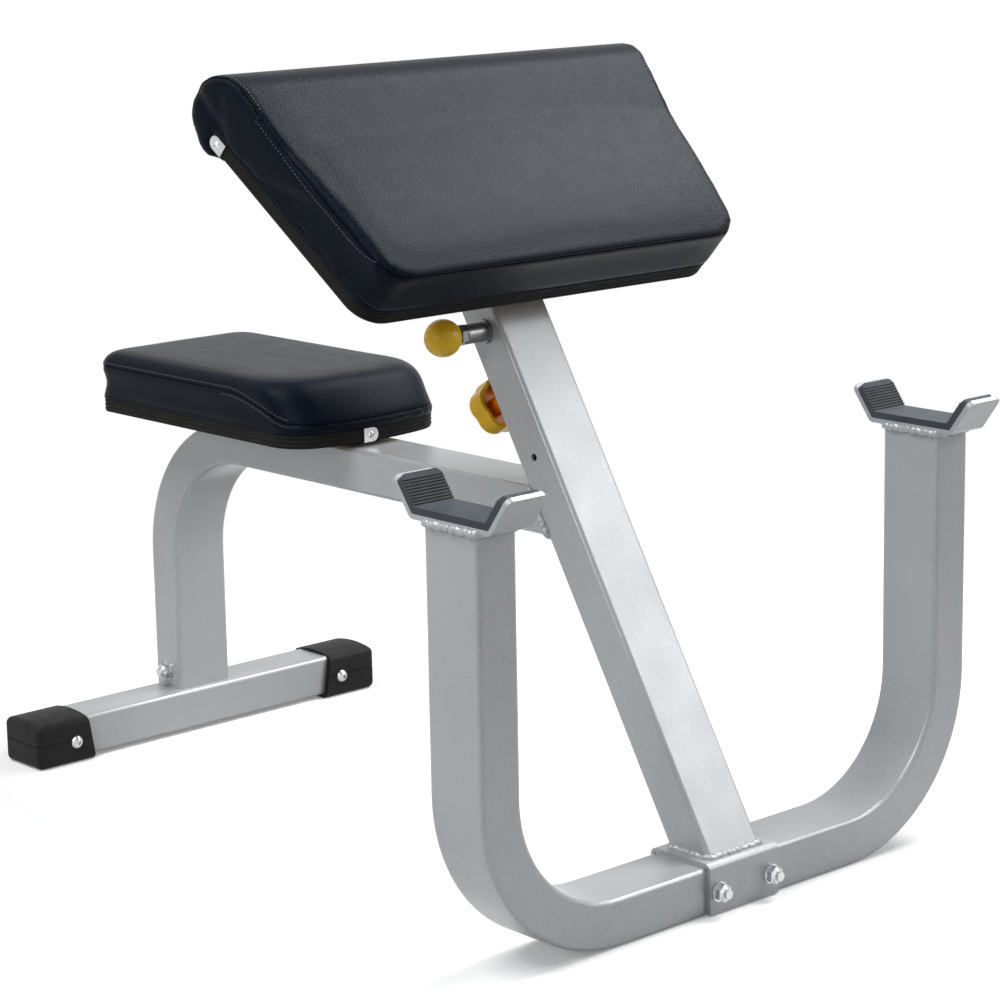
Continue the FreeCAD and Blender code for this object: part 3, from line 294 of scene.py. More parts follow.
def plywood():
    made, tree, shader, place = startMaterial("birch plywood")
    figure = addNoise(tree, place, 26, 6, (0.25, 2.2, 1.0))
    pores = addNoise(tree, place, 520, 2, (0.08, 1.0, 1.0))
    tone = blendColours(tree, spread(tree, figure, 0, 1), (0.36, 0.24, 0.13), (0.52, 0.38, 0.23))
    grained = blendColours(tree, spread(tree, pores, 0, 1, 0.5, 0.8), tone, (0.26, 0.16, 0.08))
    tree.links.new(grained, shader.inputs["Base Color"])
    addRoughness(tree, shader, figure, 0.6, 0.75)
    addBump(tree, shader, pores, 0.0002)
    return made


looks = {
    "silver": silverCoat(),
    "vinyl": blackVinyl(),
    "thread": seamThread(),
    "seamShadow": seamShadowStrip(),
    "caps": rubber("moulded foot rubber", (0.010, 0.010, 0.010), (0.018, 0.018, 0.017),
                   700, 0.5, 0.62, 0.15),
    "liner": rubber("ribbed liner rubber", (0.040, 0.049, 0.057), (0.058, 0.069, 0.078),
                    800, 0.5, 0.65, 0.18),
    "trim": rubber("ridged edge trim", (0.016, 0.0155, 0.015), (0.023, 0.022, 0.021),
                   900, 0.5, 0.6, 0.04),
    "plastic": rubber("guide plastic", (0.012, 0.012, 0.013), (0.020, 0.020, 0.021),
                      1200, 0.35, 0.45, 0.3),
    "zinc": brightSteel("bright zinc", (0.48, 0.49, 0.50), (0.62, 0.63, 0.64), 0.24, 0.38),
    "chrome": brightSteel("polished steel", (0.36, 0.37, 0.38), (0.46, 0.47, 0.48), 0.12, 0.22),
    "dullSteel": brightSteel("dull plated steel", (0.17, 0.175, 0.18), (0.25, 0.255, 0.26), 0.30, 0.42),
    # the last colour given to each plastic is painted shade for its hollows
    "amber": glossPlastic("amber ball plastic", (0.94, 0.54, 0.016), (0.98, 0.62, 0.030),
                          (0.80, 0.30, 0.008)),
    "yellow": glossPlastic("yellow knob plastic", (0.95, 0.52, 0.008), (0.98, 0.60, 0.016),
                           (0.80, 0.20, 0.006)),
    "plywood": plywood(),
}
print("materials made:", len(looks))

nodeLooks = {
    "silver": ["front_frame_tube", "bar_holder_right", "bar_holder_left", "saddle_bracket",
               "column_tube", "seat_beam", "rear_crossbar", "rear_stub", "clamp_boss",
               "seat_mount_plate", "pad_mount_plate"],
    "zinc": ["saddle_bolts", "frame_washers", "frame_lock_nuts", "rear_post_bolt",
             "foot_cap_screws", "seat_bolts", "seat_tee_nuts", "pad_bolts", "pad_tee_nuts",
             "clamp_screw", "pin_spring", "seat_trim_clip", "seat_clip_screw", "pad_trim_clips",
             "pad_clip_screws"],
    "chrome": ["pin_plunger", "sliding_post"],
    "dullSteel": ["pin_barrel", "pin_collar"],
    "liner": ["holder_liner_right", "holder_liner_left"],
    "caps": ["foot_cap_right", "foot_cap_left"],
    "trim": ["seat_edge_trim", "pad_edge_trim"],
    "plastic": ["column_guide_sleeve", "post_guide_plug", "clamp_tip"],
    "amber": ["ball_knob"],
    "yellow": ["star_knob"],
    "plywood": ["seat_board", "pad_board"],
    "vinyl": ["seat_cushion", "pad_cushion"],
}
for look, names in nodeLooks.items():
    for name in names:
        nodes[name].data.materials.clear()
        nodes[name].data.materials.append(looks[look])


# Helpers for new pieces

pathStep = 0.002  # spacing of the points along a seam or an edge
cornerSteps = 10


def addPiece(name, mesh, look, body, smooth=True):
    made = bpy.data.objects.new(name, mesh)
    scene.collection.objects.link(made)
    mesh.materials.clear()
    mesh.materials.append(looks[look])
    for face in mesh.polygons:
        face.use_smooth = smooth
    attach(made, body)
    return made


def meshFrom(bm, name):
    mesh = bpy.data.meshes.new(name)
    bm.to_mesh(mesh)
    bm.free()
    return mesh


def evaluated(made):
    graph = bpy.context.evaluated_depsgraph_get()
    return bpy.data.meshes.new_from_object(made.evaluated_get(graph))


def sweepTube(name, points, closed, radius, ripples=None):
    path = bpy.data.curves.new(name, "CURVE")
    path.dimensions = "3D"
    path.fill_mode = "FULL"
    path.bevel_depth = radius
    path.bevel_resolution = 3
    path.use_fill_caps = True
    spline = path.splines.new("POLY")
    spline.points.add(len(points) - 1)
    for number, (spot, point) in enumerate(zip(spline.points, points)):
        spot.co = (*point, 1)
        if ripples:
            spot.radius = ripples(number)
    spline.use_cyclic_u = closed
    holder = bpy.data.objects.new(name + " path", path)
    scene.collection.objects.link(holder)
    mesh = evaluated(holder)
    mesh.name = name
    bpy.data.objects.remove(holder)
    return mesh


def chordAt(points, number, closed):
    last = len(points) - 1
    before = points[number - 1] if closed or number else points[number]
    after = points[(number + 1) % len(points)] if closed or number < last else points[number]
    return after - before


def sweepProfile(name, points, closed, profile):
    # carries an upright profile along a level path, its x pointing to the path's right
    places = []
    for number, point in enumerate(points):
        ahead = chordAt(points, number, closed).normalized()
        places.append(frameMatrix(point, ahead.cross(Vector((0, 0, 1))), Vector((0, 0, 1))))
    bm = bmesh.new()
    ring = [bm.verts.new(places[0] @ Vector((x, 0, z))) for x, z in profile]
    edges = [bm.edges.new((first, second)) for first, second in zip(ring, ring[1:] + ring[:1])]
    if not closed:
        bm.faces.new(ring)
    stops = places[1:] + places[:1] if closed else places[1:]
    here = places[0]
    for stop in stops:
        grown = bmesh.ops.extrude_edge_only(bm, edges=edges)["geom"]
        edges = [part for part in grown if isinstance(part, bmesh.types.BMEdge)]
        tip = [part for part in grown if isinstance(part, bmesh.types.BMVert)]
        bmesh.ops.transform(bm, verts=tip, matrix=stop @ here.inverted())
        here = stop
    if not closed:
        bmesh.ops.holes_fill(bm, edges=edges)
    bmesh.ops.remove_doubles(bm, verts=bm.verts, dist=1e-6)
    bmesh.ops.recalc_face_normals(bm, faces=bm.faces)
    return meshFrom(bm, name)


def resample(points, step, closed=False):
    ring = points + points[:1] if closed else points
    lengths = [0.0]
    for first, second in zip(ring, ring[1:]):
        lengths.append(lengths[-1] + (second - first).length)
    count = max(2, round(lengths[-1] / step))
    made = []
    leg = 0
    for number in range(count if closed else count + 1):
        target = lengths[-1] * number / count
        while leg < len(lengths) - 2 and lengths[leg + 1] < target:
            leg += 1
        share = (target - lengths[leg]) / max(lengths[leg + 1] - lengths[leg], 1e-9)
        made.append(ring[leg].lerp(ring[leg + 1], share))
    return made


def relax(points, rounds, closed=False):
    for _ in range(rounds):
        before = points
        points = [p.copy() for p in before]
        last = len(before) - 1
        for number in range(len(before)):
            if closed or 0 < number < last:
                beside = before[number - 1] + before[(number + 1) % len(before)]
                points[number] = before[number] * 0.5 + beside * 0.25
    return points


def cornerArc(centre, radius, start, end, steps=cornerSteps):
    return [
        Vector((centre[0] + radius * math.cos(a), centre[1] + radius * math.sin(a), 0))
        for a in (start + (end - start) * k / steps for k in range(steps + 1))
    ]


# Plans of the two boards, in their own frames

def padHalf(fromFront, wider=0.0):
    return pad["frontHalf"] + pad["taper"] * fromFront + wider / math.cos(math.atan(pad["taper"]))


def padPlan(wider, fromFront):
    # right side, round the front, to the left side
    lean = math.atan(pad["taper"])
    radius = pad["corner"] + wider
    front = wider
    centreX = front - radius
    centreY = padHalf(-centreX, wider) - radius / math.cos(lean)
    points = [Vector((-fromFront, -padHalf(fromFront, wider), 0))]
    points += cornerArc((centreX, -centreY), radius, -math.pi / 2 + lean, 0)
    points += cornerArc((centreX, centreY), radius, 0, math.pi / 2 - lean)
    points.append(Vector((-fromFront, padHalf(fromFront, wider), 0)))
    return points


def seatPlan(wider):
    half = seat["half"] + wider
    front = seat["length"] - seat["bow"] + wider
    bowRadius = (half ** 2 + seat["bow"] ** 2) / (2 * seat["bow"])
    bowCentre = front + seat["bow"] - bowRadius
    frontRadius = seat["frontCorner"] + wider
    rearRadius = seat["rearCorner"] + wider
    cornerY = half - frontRadius
    cornerX = bowCentre + math.sqrt((bowRadius - frontRadius) ** 2 - cornerY ** 2)
    turn = math.atan2(cornerY, cornerX - bowCentre)
    rearX = -wider + rearRadius
    rearY = half - rearRadius
    points = cornerArc((rearX, -rearY), rearRadius, -math.pi, -math.pi / 2)
    points += cornerArc((cornerX, -cornerY), frontRadius, -math.pi / 2, -turn)
    points += cornerArc((bowCentre, 0), bowRadius, -turn, turn, 16)
    points += cornerArc((cornerX, cornerY), frontRadius, turn, math.pi / 2)
    points += cornerArc((rearX, rearY), rearRadius, math.pi / 2, math.pi)
    return points


# Cushions: a remeshed copy of the foam block, blown up by pressure and held at its base

cushions = {
    "pad": {"node": "pad_cushion", "name": "arm_pad_cover", "body": "arm_pad", "voxel": 0.005,
            "pressure": 3.5, "cap": 0.0014, "sideCap": 0.0012, "sewnReach": 0.020},
    "seat": {"node": "seat_cushion", "name": "seat_cover", "body": "frame", "voxel": 0.0045,
             "pressure": 3.5, "cap": 0.0012, "sideCap": 0.0026, "sewnReach": 0.010},
}
cushionRun = {"frames": 20, "quality": 4, "mass": 0.4, "evenRounds": 10, "smoothRounds": 2}
hem = {"drop": 0.0003, "rise": 0.005, "out": 0.0030, "inner": 0.0004, "lip": 0.0005,
       "uprightShare": 0.2, "turnShare": 0.5, "pastBoard": 0.003}
seamShape = {"depth": 0.0014, "width": 0.0022, "bandRise": 0.0008, "bandWidth": 0.0030,
             "rowDepth": 0.0006, "rowWidth": 0.0018, "shadowRadius": 0.0006, "shadowRounds": 4}


def foamCopy(cushion):
    bm = bmesh.new()
    bm.from_mesh(nodes[cushion["node"]].data)
    bmesh.ops.remove_doubles(bm, verts=bm.verts, dist=2e-5)
    bmesh.ops.recalc_face_normals(bm, faces=bm.faces)
    made = bpy.data.objects.new(cushion["name"] + "_foam", meshFrom(bm, cushion["name"]))
    scene.collection.objects.link(made)
    remesh = made.modifiers.new("voxels", "REMESH")
    remesh.mode = "VOXEL"
    remesh.voxel_size = cushion["voxel"]
    mesh = evaluated(made)
    made.modifiers.clear()
    made.data = mesh
    return made


def nearestTo(line):
    tree = KDTree(len(line))
    for number, point in enumerate(line):
        tree.insert(point, number)
    tree.balance()
    return tree


def blownMesh(made, cushion, held):
    group = made.vertex_groups.new(name="held")
    group.add(held, 1.0, "REPLACE")
    cloth = made.modifiers.new("pressure", "CLOTH")
    cloth.settings.use_pressure = True
    cloth.settings.uniform_pressure_force = cushion["pressure"]
    cloth.settings.vertex_group_mass = "held"
    cloth.settings.effector_weights.gravity = 0
    cloth.settings.quality = cushionRun["quality"]
    cloth.settings.mass = cushionRun["mass"]
    cloth.collision_settings.use_collision = False
    cloth.point_cache.frame_start = 1
    cloth.point_cache.frame_end = cushionRun["frames"]
    for moment in range(1, cushionRun["frames"] + 1):
        scene.frame_set(moment)
    mesh = evaluated(made)
    made.modifiers.clear()
    scene.frame_set(1)
    return mesh


def evenOut(mesh, rise):
    links = [[] for _ in mesh.vertices]
    for edge in mesh.edges:
        first, second = edge.vertices
        links[first].append(second)
        links[second].append(first)
    for _ in range(cushionRun["evenRounds"]):
        beside = [sum(rise[other] for other in near) for near in links]
        rise = [(own + total) / (1 + len(near)) for own, total, near in zip(rise, beside, links)]
    return rise


def swell(made, cushion, place, seams):
    # the panels bulge between the seams and the base, which stay where they are sewn and stapled
    mesh = made.data
    sewn = nearestTo([point for line in seams for point in line])
    distances = [sewn.find(v.co)[2] for v in mesh.vertices]
    intoFrame = place.inverted()
    lowest = bench["boardThick"] + cushion["voxel"]
    based = [(intoFrame @ v.co).z < lowest for v in mesh.vertices]
    held = [v.index for v in mesh.vertices if based[v.index] or distances[v.index] < cushion["voxel"]]
    blown = blownMesh(made, cushion, held)
    upward = place.col[2].to_3d()
    rise = []
    for vertex, after, distance in zip(mesh.vertices, blown.vertices, distances):
        upright = 1 - abs(vertex.normal.dot(upward))
        outward = max((after.co - vertex.co).dot(vertex.normal), 0)
        outward = min(outward, cushion["cap"] + cushion["sideCap"] * upright)
        rise.append(outward * (1 - math.exp(-(distance / cushion["sewnReach"]) ** 2)))
    for index in held:
        rise[index] = 0
    places = [v.co + v.normal * up for v, up in zip(mesh.vertices, evenOut(mesh, rise))]
    for vertex, spot in zip(mesh.vertices, places):
        vertex.co = spot
    mesh.update()
    bpy.data.meshes.remove(blown)


def smoothMesh(mesh):
    bm = bmesh.new()
    bm.from_mesh(mesh)
    axes = {"use_axis_x": True, "use_axis_y": True, "use_axis_z": True}
    for _ in range(cushionRun["smoothRounds"]):
        bmesh.ops.smooth_vert(bm, verts=bm.verts, factor=0.5, **axes)
    bm.to_mesh(mesh)
    bm.free()


def refine(made):
    finer = made.modifiers.new("finer", "SUBSURF")
    finer.levels = 1
    finer.render_levels = 1
    mesh = evaluated(made)
    made.modifiers.clear()
    made.data = mesh


def pressLine(mesh, line, depth, width):
    tree = nearestTo(line)
    moves = []
    for vertex in mesh.vertices:
        distance = tree.find(vertex.co)[2]
        if distance < 3 * width:
            moves.append((vertex, vertex.normal * (-depth * math.exp(-(distance / width) ** 2))))
    for vertex, move in moves:
        vertex.co += move
    mesh.update()


def surfaceOf(mesh):
    bm = bmesh.new()
    bm.from_mesh(mesh)
    tree = BVHTree.FromBMesh(bm)
    bm.free()
    return tree


def settle(surface, points, lift=0.0):
    made = []
    for point in points:
        place, normal, _, _ = surface.find_nearest(point)
        made.append(place + normal * lift)
    return made


def makeCover(key, place, seams, bands, rows, folds=()):
    cushion = cushions[key]
    made = foamCopy(cushion)
    smoothMesh(made.data)
    swell(made, cushion, place, seams)
    refine(made)
    mesh = made.data
    surface = surfaceOf(mesh)
    for line, depth, width in folds:
        pressLine(mesh, settle(surface, line), depth, width)
    for line in bands:
        pressLine(mesh, settle(surface, line), -seamShape["bandRise"], seamShape["bandWidth"])
    for line in seams:
        pressLine(mesh, settle(surface, line), seamShape["depth"], seamShape["width"])
    for line in rows:
        pressLine(mesh, settle(surface, line), seamShape["rowDepth"], seamShape["rowWidth"])
    bpy.data.objects.remove(made)
    cover = addPiece(cushion["name"], mesh, "vinyl", cushion["body"])
    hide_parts(cushion["node"])
    print(cushion["name"], "vertices", len(mesh.vertices))
    return surfaceOf(mesh)


# painted shadow: a thin near-black tube, half sunk along the seam, stands in for the shade in its groove
def makeSeamShadow(name, line, surface, closed, body):
    path = relax(settle(surface, line), seamShape["shadowRounds"], closed)
    mesh = sweepTube(name, path, closed, seamShape["shadowRadius"])
    return addPiece(name, mesh, "seamShadow", body)


def makeHem(name, plan, closed, place, body):
    # the cover's lower edge, drawn in under the cushion just above the trim
    top = bench["boardThick"]
    low = top - hem["drop"]
    lip = hem["lip"]
    rise = hem["rise"]
    out = hem["out"]
    inner = hem["inner"]
    profile = [(inner, low), (out - lip, low), (out, low + lip), (out, top + rise * hem["uprightShare"]),
               (out - lip * 2, top + rise * hem["turnShare"]), (inner, top + rise)]
    mesh = sweepProfile(name, resample(plan, pathStep, closed), closed, profile)
    mesh.transform(place)
    return addPiece(name, mesh, "vinyl", body)


stitch = {"pitch": 0.0043, "length": 0.0030, "width": 0.00050, "flatness": 0.7, "lift": 0.3}


def makeStitches(name, lines, surface, body):
    bm = bmesh.new()
    radius = stitch["width"]
    size = Matrix.Diagonal((stitch["length"] / radius / 2, 1, stitch["flatness"], 1))
    for line in lines:
        spots = resample(line, stitch["pitch"])
        for number, spot in enumerate(spots):
            place, normal, _, _ = surface.find_nearest(spot)
            ahead = chordAt(spots, number, False)
            ahead = (ahead - normal * ahead.dot(normal)).normalized()
            lie = frameMatrix(place + normal * radius * stitch["lift"], ahead, normal)
            bmesh.ops.create_uvsphere(bm, u_segments=6, v_segments=4, radius=radius, matrix=lie @ size)
    return addPiece(name, meshFrom(bm, name), "thread", body)


# Arm pad cover: a seam over the roll's ends, down both sides and round the front

padStitch = {"below": 0.009, "inside": 0.0075, "sideTop": 0.218, "sideEnd": 0.022, "fade": 0.040,
             "rollFrom": math.radians(140), "rollTo": math.radians(-32)}
padSeamLine = {"sideShare": 0.9, "rounds": 8, "rollSteps": 24, "creaseSteps": 12}
padCreases = [
    {"from": (0.250, 0.024), "to": (0.296, 0.031), "depth": 0.0024, "width": 0.0080},
    {"from": (0.252, 0.028), "to": (0.268, 0.050), "depth": 0.0008, "width": 0.0080},
]


def padSeamHeight(fromFront):
    level = bench["boardThick"] + pad["seam"]
    top = bench["boardThick"] + pad["rollTop"]
    share = (fromFront - pad["rampStart"]) / (pad["rollFromFront"] - pad["rampStart"])
    return level + (top - level) * min(max(share, 0), 1)


def rollPoint(angle, inward):
    fromFront = pad["rollFromFront"] + pad["rollRadius"] * math.sin(angle)
    height = bench["boardThick"] + pad["rollTop"] - pad["rollRadius"] * (1 - math.cos(angle))
    return Vector((-fromFront, -padHalf(fromFront, grow - inward), height))


def rollArc(start, end, inward):
    steps = padSeamLine["rollSteps"]
    return [rollPoint(start + (end - start) * step / steps, inward) for step in range(steps + 1)]


def otherSide(points):
    return [Vector((p.x, -p.y, p.z)) for p in reversed(points)]


def padSeam():
    roll = rollArc(padStitch["rollFrom"], 0, 0)
    plan = resample(padPlan(grow, pad["rollFromFront"] * padSeamLine["sideShare"]), pathStep)
    level = [Vector((p.x, p.y, padSeamHeight(-p.x))) for p in plan]
    line = resample(roll + level + otherSide(roll), pathStep)
    return [padFrame @ p for p in relax(line, padSeamLine["rounds"])]


def padSideRow(below):
    # the plan's first point and its first corner are one side of the pad
    plan = resample(padPlan(grow, padStitch["sideTop"])[:cornerSteps + 2], pathStep)
    row = []
    for p in plan:
        if -p.x > padStitch["sideEnd"]:
            share = min((-p.x - padStitch["sideEnd"]) / padStitch["fade"], 1)
            row.append(Vector((p.x, p.y, padSeamHeight(-p.x) - below * share * (2 - share))))
    return row


def padRows(inside, below):
    # one row inside the seam over the roll, and one below it along each side
    roll = rollArc(padStitch["rollFrom"], padStitch["rollTo"], inside)
    side = padSideRow(below)
    return [[padFrame @ p for p in line] for line in (roll, otherSide(roll), side, otherSide(side))]


def rollCreases():
    # folds in the roll's end panels, drawn together at the clips
    made = []
    for crease in padCreases:
        for side in (-1, 1):
            line = []
            for step in range(padSeamLine["creaseSteps"] + 1):
                share = step / padSeamLine["creaseSteps"]
                fromFront = crease["from"][0] + (crease["to"][0] - crease["from"][0]) * share
                height = crease["from"][1] + (crease["to"][1] - crease["from"][1]) * share
                line.append(padFrame @ Vector((-fromFront, side * padHalf(fromFront, grow), height)))
            made.append((line, crease["depth"], crease["width"]))
    return made


padStitchRows = padRows(padStitch["inside"], padStitch["below"])
padBands = padRows(padStitch["inside"] / 2, padStitch["below"] / 2)
padSurface = makeCover("pad", padFrame, [padSeam()], padBands, padStitchRows, rollCreases())
makeHem("arm_pad_hem", padPlan(0.0, pad["boardEnd"] + hem["pastBoard"]), False, padFrame, "arm_pad")
makeSeamShadow("arm_pad_seam_shadow", padSeam(), padSurface, False, "arm_pad")
makeStitches("arm_pad_stitches", padStitchRows, padSurface, "arm_pad")


# Seat cover: a seam round the cushion that falls to the low front edge

seatStitch = {"above": 0.0045, "below": 0.0045, "frontEnd": 0.355, "lowFrom": 0.245}
seatSeamLine = {"fallShare": 0.9, "rounds": 6}


def seatSeam(lift):
    points = []
    for p in resample(seatPlan(grow), pathStep, True):
        fall = (p.x - (seat["length"] - seat["seamFall"])) / (seat["seamFall"] * seatSeamLine["fallShare"])
        fall = min(max(fall, 0), 1)
        fall = fall * fall * (3 - 2 * fall)
        height = bench["boardThick"] + seat["seam"] + (seat["frontSeam"] - seat["seam"]) * fall + lift
        points.append(Vector((p.x, p.y, height)))
    return relax(points, seatSeamLine["rounds"], True)


def seatRow(lift, start, side):
    row = [p for p in seatSeam(lift) if p.y * side > 0 and start < p.x < seatStitch["frontEnd"]]
    return [seatFrame @ p for p in sorted(row, key=lambda p: p.x)]


def seatRearRow(lift):
    row = [p for p in seatSeam(lift) if p.x <= seat["rearCorner"]]
    return [seatFrame @ p for p in sorted(row, key=lambda p: p.y)]


def seatRows(above, below):
    # a row above the seam on all sides but the front, and one below it where it falls
    rows = [seatRearRow(above)]
    for side in (-1, 1):
        rows.append(seatRow(above, seat["rearCorner"], side))
        rows.append(seatRow(-below, seatStitch["lowFrom"], side))
    return rows


seatLine = [seatFrame @ p for p in seatSeam(0.0)]
seatStitchRows = seatRows(seatStitch["above"], seatStitch["below"])
seatBands = seatRows(seatStitch["above"] / 2, seatStitch["below"] / 2)
seatSurface = makeCover("seat", seatFrame, [seatLine], seatBands, seatStitchRows)
makeHem("seat_hem", seatPlan(0.0), True, seatFrame, "frame")
makeSeamShadow("seat_seam_shadow", seatLine, seatSurface, True, "frame")
makeStitches("seat_stitches", seatStitchRows, seatSurface, "frame")
print("cushions made")


# Ridged trim round the boards

trim = {"ridges": 3, "ridgeTall": 0.0009, "ridgeShare": 0.6, "ridgeSteps": 6, "spareRidges": 0.4,
        "edgeShare": 0.7, "edgeTall": 0.0006, "fit": 0.0001}


def trimProfile():
    height = bench["boardThick"]
    thick = bench["trimThick"] - trim["ridgeTall"]
    edge = thick * trim["edgeShare"]
    pitch = height / (trim["ridges"] + trim["spareRidges"])
    points = [(0, 0), (edge, 0), (thick, trim["edgeTall"])]
    for number in range(trim["ridges"]):
        middle = height / 2 + (number - (trim["ridges"] - 1) / 2) * pitch
        half = pitch * trim["ridgeShare"] / 2
        for step in range(trim["ridgeSteps"] + 1):
            angle = math.pi * step / trim["ridgeSteps"]
            points.append((thick + trim["ridgeTall"] * math.sin(angle), middle - half * math.cos(angle)))
    points += [(thick, height - trim["edgeTall"]), (edge, height), (0, height)]
    return points


def makeTrim(name, plan, closed, place, body, node):
    mesh = sweepProfile(name, resample(plan, pathStep, closed), closed, trimProfile())
    mesh.transform(place)
    made = addPiece(name, mesh, "trim", body, smooth=False)
    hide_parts(node)
    return made


padTrimPlan = padPlan(trim["fit"], pad["boardEnd"])
makeTrim("arm_pad_ridged_trim", padTrimPlan, False, padFrame, "arm_pad", "pad_edge_trim")
makeTrim("seat_ridged_trim", seatPlan(trim["fit"]), True, seatFrame, "frame", "seat_edge_trim")
print("trim made")


# Weld beads where the tubes and plates meet

weld = {"radius": 0.0042, "step": 0.0016, "ripple": 0.07, "wander": 0.0005}
smallWelds = {
    "holderRadius": 0.0046,
    "holderDrop": 0.001,
    "bossRing": 0.011,
    "bossRadius": 0.0018,
    "padPlateRadius": 0.0026,
    "seatPlateRadius": 0.0024,
    "seatPlateEnds": (0.05, 0.95),
}
sides = ((-1, "right"), (1, "left"))
halfWide = bench["tubeWide"] / 2
halfDeep = bench["tubeDeep"] / 2


def boxRing(halfX, halfY, corner):
    points = []
    for signX, signY, turn in ((1, 1, 0), (-1, 1, 1), (-1, -1, 2), (1, -1, 3)):
        centre = (signX * (halfX - corner), signY * (halfY - corner))
        points += cornerArc(centre, corner, turn * math.pi / 2, (turn + 1) * math.pi / 2, 4)
    return points


def makeBead(name, points, closed, body, radius=None):
    line = resample(points, weld["step"], closed)
    wandered = []
    for number, p in enumerate(line):
        shift = Vector((math.sin(number * 0.9), math.sin(number * 1.3 + 1), math.sin(number * 0.7 + 2)))
        wandered.append(p + shift * weld["wander"])

    def ripple(number):
        return 1 + weld["ripple"] * (math.sin(number * 1.7) + math.sin(number * 0.37))

    mesh = sweepTube(name, wandered, closed, radius or weld["radius"], ripple)
    return addPiece(name, mesh, "silver", body)


def makeFrameWelds():
    leaning = halfDeep / math.cos(bench["columnLean"])
    foot = boxRing(leaning, halfWide, bench["tubeCorner"])
    footLine = [rowPoint(p.x - halfWide, p.y, bench["saddleTop"]) for p in foot]
    makeBead("column_foot_weld", footLine, True, "frame")
    height = bench["armTop"] - smallWelds["holderDrop"]
    for side, word in sides:
        ring = boxRing(halfWide, halfDeep, bench["tubeCorner"])
        arm = [rowPoint(p.x - halfWide, side * bench["armY"] + p.y, height) for p in ring]
        makeBead("bar_holder_weld_" + word, arm, True, "frame", smallWelds["holderRadius"])


def makeColumnWelds():
    lean = bench["columnLean"]
    joint = []
    for p in boxRing(halfDeep, halfWide, bench["tubeCorner"]):
        height = bench["beamTop"] - halfDeep + p.x
        rear = -halfWide - halfDeep / math.cos(lean) - (height - bench["saddleTop"]) * math.tan(lean)
        joint.append(rowPoint(rear, p.y, height))
    makeBead("beam_column_weld", joint, True, "frame")
    ring = smallWelds["bossRing"]
    boss = [columnPoint(-halfDeep, ring * math.cos(a), bench["clampHeight"] + ring * math.sin(a))
            for a in (k * math.pi / 12 for k in range(24))]
    makeBead("clamp_boss_weld", boss, True, "frame", smallWelds["bossRadius"])


def makePlateWelds():
    low, high = pad["postMeet"]
    half = pad["postHalf"]
    corners = [(high, -half), (low, -half), (low, half), (high, half)]
    plate = [padFrame @ Vector((-q, y, -pad["plateThick"])) for q, y in corners]
    makeBead("pad_plate_weld", plate, False, "arm_pad", smallWelds["padPlateRadius"])
    plateRear = seat["rearX"] + seat["plateStart"]
    for side, word in sides:
        ends = [rowPoint(plateRear + share * seat["plateLength"], side * halfWide, bench["beamTop"])
                for share in smallWelds["seatPlateEnds"]]
        makeBead("seat_plate_weld_" + word, ends, False, "frame", smallWelds["seatPlateRadius"])


makeFrameWelds()
makeColumnWelds()
makePlateWelds()
print("welds made")


# Coil in the pull pin's barrel, made at one fixed length; the real coil shortens as the pin is pulled

coil = {"turns": 7, "wire": 0.0012, "fixedY": -0.0675, "stroke": 0.012, "steps": 24}


def makeCoil():
    low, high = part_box("pin_spring")
    middle = (Vector(low) + Vector(high)) / 2
    radius = (high[0] - low[0] - coil["wire"]) / 2
    start = high[1] - coil["wire"] / 2
    length = high[1] - low[1] - coil["wire"]
    points = []
    for step in range(coil["turns"] * coil["steps"] + 1):
        angle = 2 * math.pi * step / coil["steps"]
        y = start - length * step / (coil["turns"] * coil["steps"])
        points.append(Vector((middle.x + radius * math.cos(angle), y, middle.z + radius * math.sin(angle))))
    mesh = sweepTube("pull_pin_coil", points, False, coil["wire"] / 2)
    made = addPiece("pull_pin_coil", mesh, "zinc", "frame")
    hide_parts("pin_spring")
    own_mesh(made)


makeCoil()
print("coil made")


# Floor, light and camera

def seenDirectly(tree):
    rays = tree.nodes.new("ShaderNodeLightPath")
    seen = rays.outputs["Is Camera Ray"]
    for other in ("Is Glossy Ray", "Is Transmission Ray"):
        either = tree.nodes.new("ShaderNodeMath")
        either.operation = "MAXIMUM"
        tree.links.new(seen, either.inputs[0])
        tree.links.new(rays.outputs[other], either.inputs[1])
        seen = either.outputs[0]
    return seen


def mixShaders(tree, factor, first, second):
    blend = tree.nodes.new("ShaderNodeMixShader")
    tree.links.new(factor, blend.inputs[0])
    tree.links.new(first, blend.inputs[1])
    tree.links.new(second, blend.inputs[2])
    return blend.outputs[0]


floorShape = {"radius": 6.0, "drop": 0.0002, "segments": 96, "fadeFrom": 0.7, "fadeTo": 1.8}


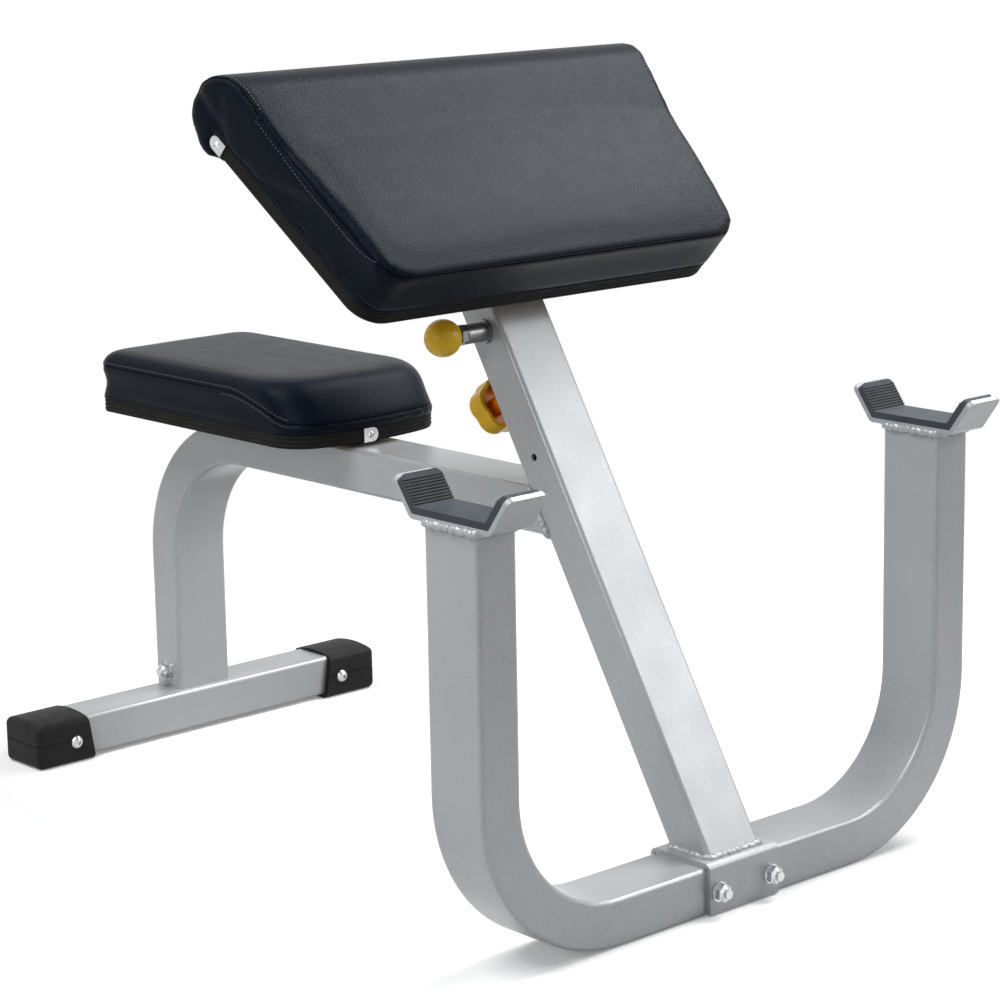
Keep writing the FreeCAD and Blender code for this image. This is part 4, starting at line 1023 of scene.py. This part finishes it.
def makeFloor():
    # pale where it is seen, dimmer in the light that it throws back, and clear towards its rim
    bm = bmesh.new()
    bmesh.ops.create_circle(bm, cap_ends=True, segments=floorShape["segments"], radius=floorShape["radius"],
                            matrix=Matrix.Translation((0, 0, -floorShape["drop"])))
    floor = bpy.data.objects.new("studio_floor", meshFrom(bm, "studio floor"))
    scene.collection.objects.link(floor)
    made, tree, shader, place = startMaterial("pale floor")
    tone = blendColours(tree, addNoise(tree, place, 3, 3), (0.90, 0.90, 0.90), (0.93, 0.93, 0.93))
    tree.links.new(tone, shader.inputs["Base Color"])
    shader.inputs["Roughness"].default_value = 0.9
    shader.inputs["Specular IOR Level"].default_value = 0.1
    shader.inputs["Emission Color"].default_value = (1, 1, 1, 1)
    shader.inputs["Emission Strength"].default_value = 0.2
    dim = tree.nodes.new("ShaderNodeBsdfDiffuse")
    dim.inputs["Color"].default_value = (0.3, 0.3, 0.3, 1)
    clear = tree.nodes.new("ShaderNodeBsdfTransparent")
    reach = tree.nodes.new("ShaderNodeVectorMath")
    reach.operation = "LENGTH"
    tree.links.new(place, reach.inputs[0])
    ground = mixShaders(tree, seenDirectly(tree), dim.outputs[0], shader.outputs[0])
    fade = spread(tree, reach.outputs["Value"], 0, 1, floorShape["fadeFrom"], floorShape["fadeTo"])
    surface = mixShaders(tree, fade, ground, clear.outputs[0])
    tree.links.new(surface, tree.nodes["Material Output"].inputs["Surface"])
    floor.data.materials.append(made)


def makeWorld():
    world = bpy.data.worlds.new("studio")
    scene.world = world
    world.use_nodes = True
    tree = world.node_tree
    soft = tree.nodes["Background"]
    soft.inputs["Color"].default_value = (0.93, 0.96, 1.0, 1)
    soft.inputs["Strength"].default_value = 0.14
    white = tree.nodes.new("ShaderNodeBackground")
    white.inputs["Color"].default_value = (1, 1, 1, 1)
    white.inputs["Strength"].default_value = 1.0
    surface = mixShaders(tree, seenDirectly(tree), soft.outputs[0], white.outputs[0])
    tree.links.new(surface, tree.nodes["World Output"].inputs["Surface"])


lamps = {
    "pad_key": {"place": (0.34, 1.58, 2.46), "size": 1.3, "power": 64},
    "column_key": {"place": (1.6, 1.62, 1.45), "size": 1.1, "power": 17},
    "right_fill": {"place": (-0.25, -1.5, 2.75), "size": 1.6, "power": 60},
    "low_fill": {"place": (0.55, -2.3, 1.2), "size": 0.5, "power": 10},
}
lampAim = Vector((0.1, 0, 0.45))


def makeLamps():
    for name, lamp in lamps.items():
        light = bpy.data.lights.new(name + " softbox", "AREA")
        light.shape = "SQUARE"
        light.size = lamp["size"]
        light.energy = lamp["power"]
        made = bpy.data.objects.new(name + "_softbox", light)
        made.location = lamp["place"]
        made.rotation_euler = (lampAim - made.location).to_track_quat("-Z", "Y").to_euler()
        scene.collection.objects.link(made)


camera = {
    "place": (1.9994, -2.1157, 1.0609),
    "azimuth": math.radians(41.92),
    "elevation": math.radians(12.34),
    "roll": math.radians(-1.02),
    "lens": 108.12,
}


def makeCamera():
    level = math.cos(camera["elevation"])
    turn = camera["azimuth"]
    look = Vector((-math.cos(turn) * level, math.sin(turn) * level, -math.sin(camera["elevation"])))
    side = look.cross(Vector((0, 0, 1))).normalized()
    top = side.cross(look)
    right = side * math.cos(camera["roll"]) + top * math.sin(camera["roll"])
    data = bpy.data.cameras.new("photo camera")
    data.lens = camera["lens"]
    data.sensor_width = 36
    made = bpy.data.objects.new("photo_camera", data)
    made.matrix_world = frameMatrix(rowPoint(*camera["place"]), right, -look)
    scene.collection.objects.link(made)
    scene.camera = made


makeFloor()
makeWorld()
makeLamps()
makeCamera()
scene.view_settings.view_transform = "Standard"
print("stage made")
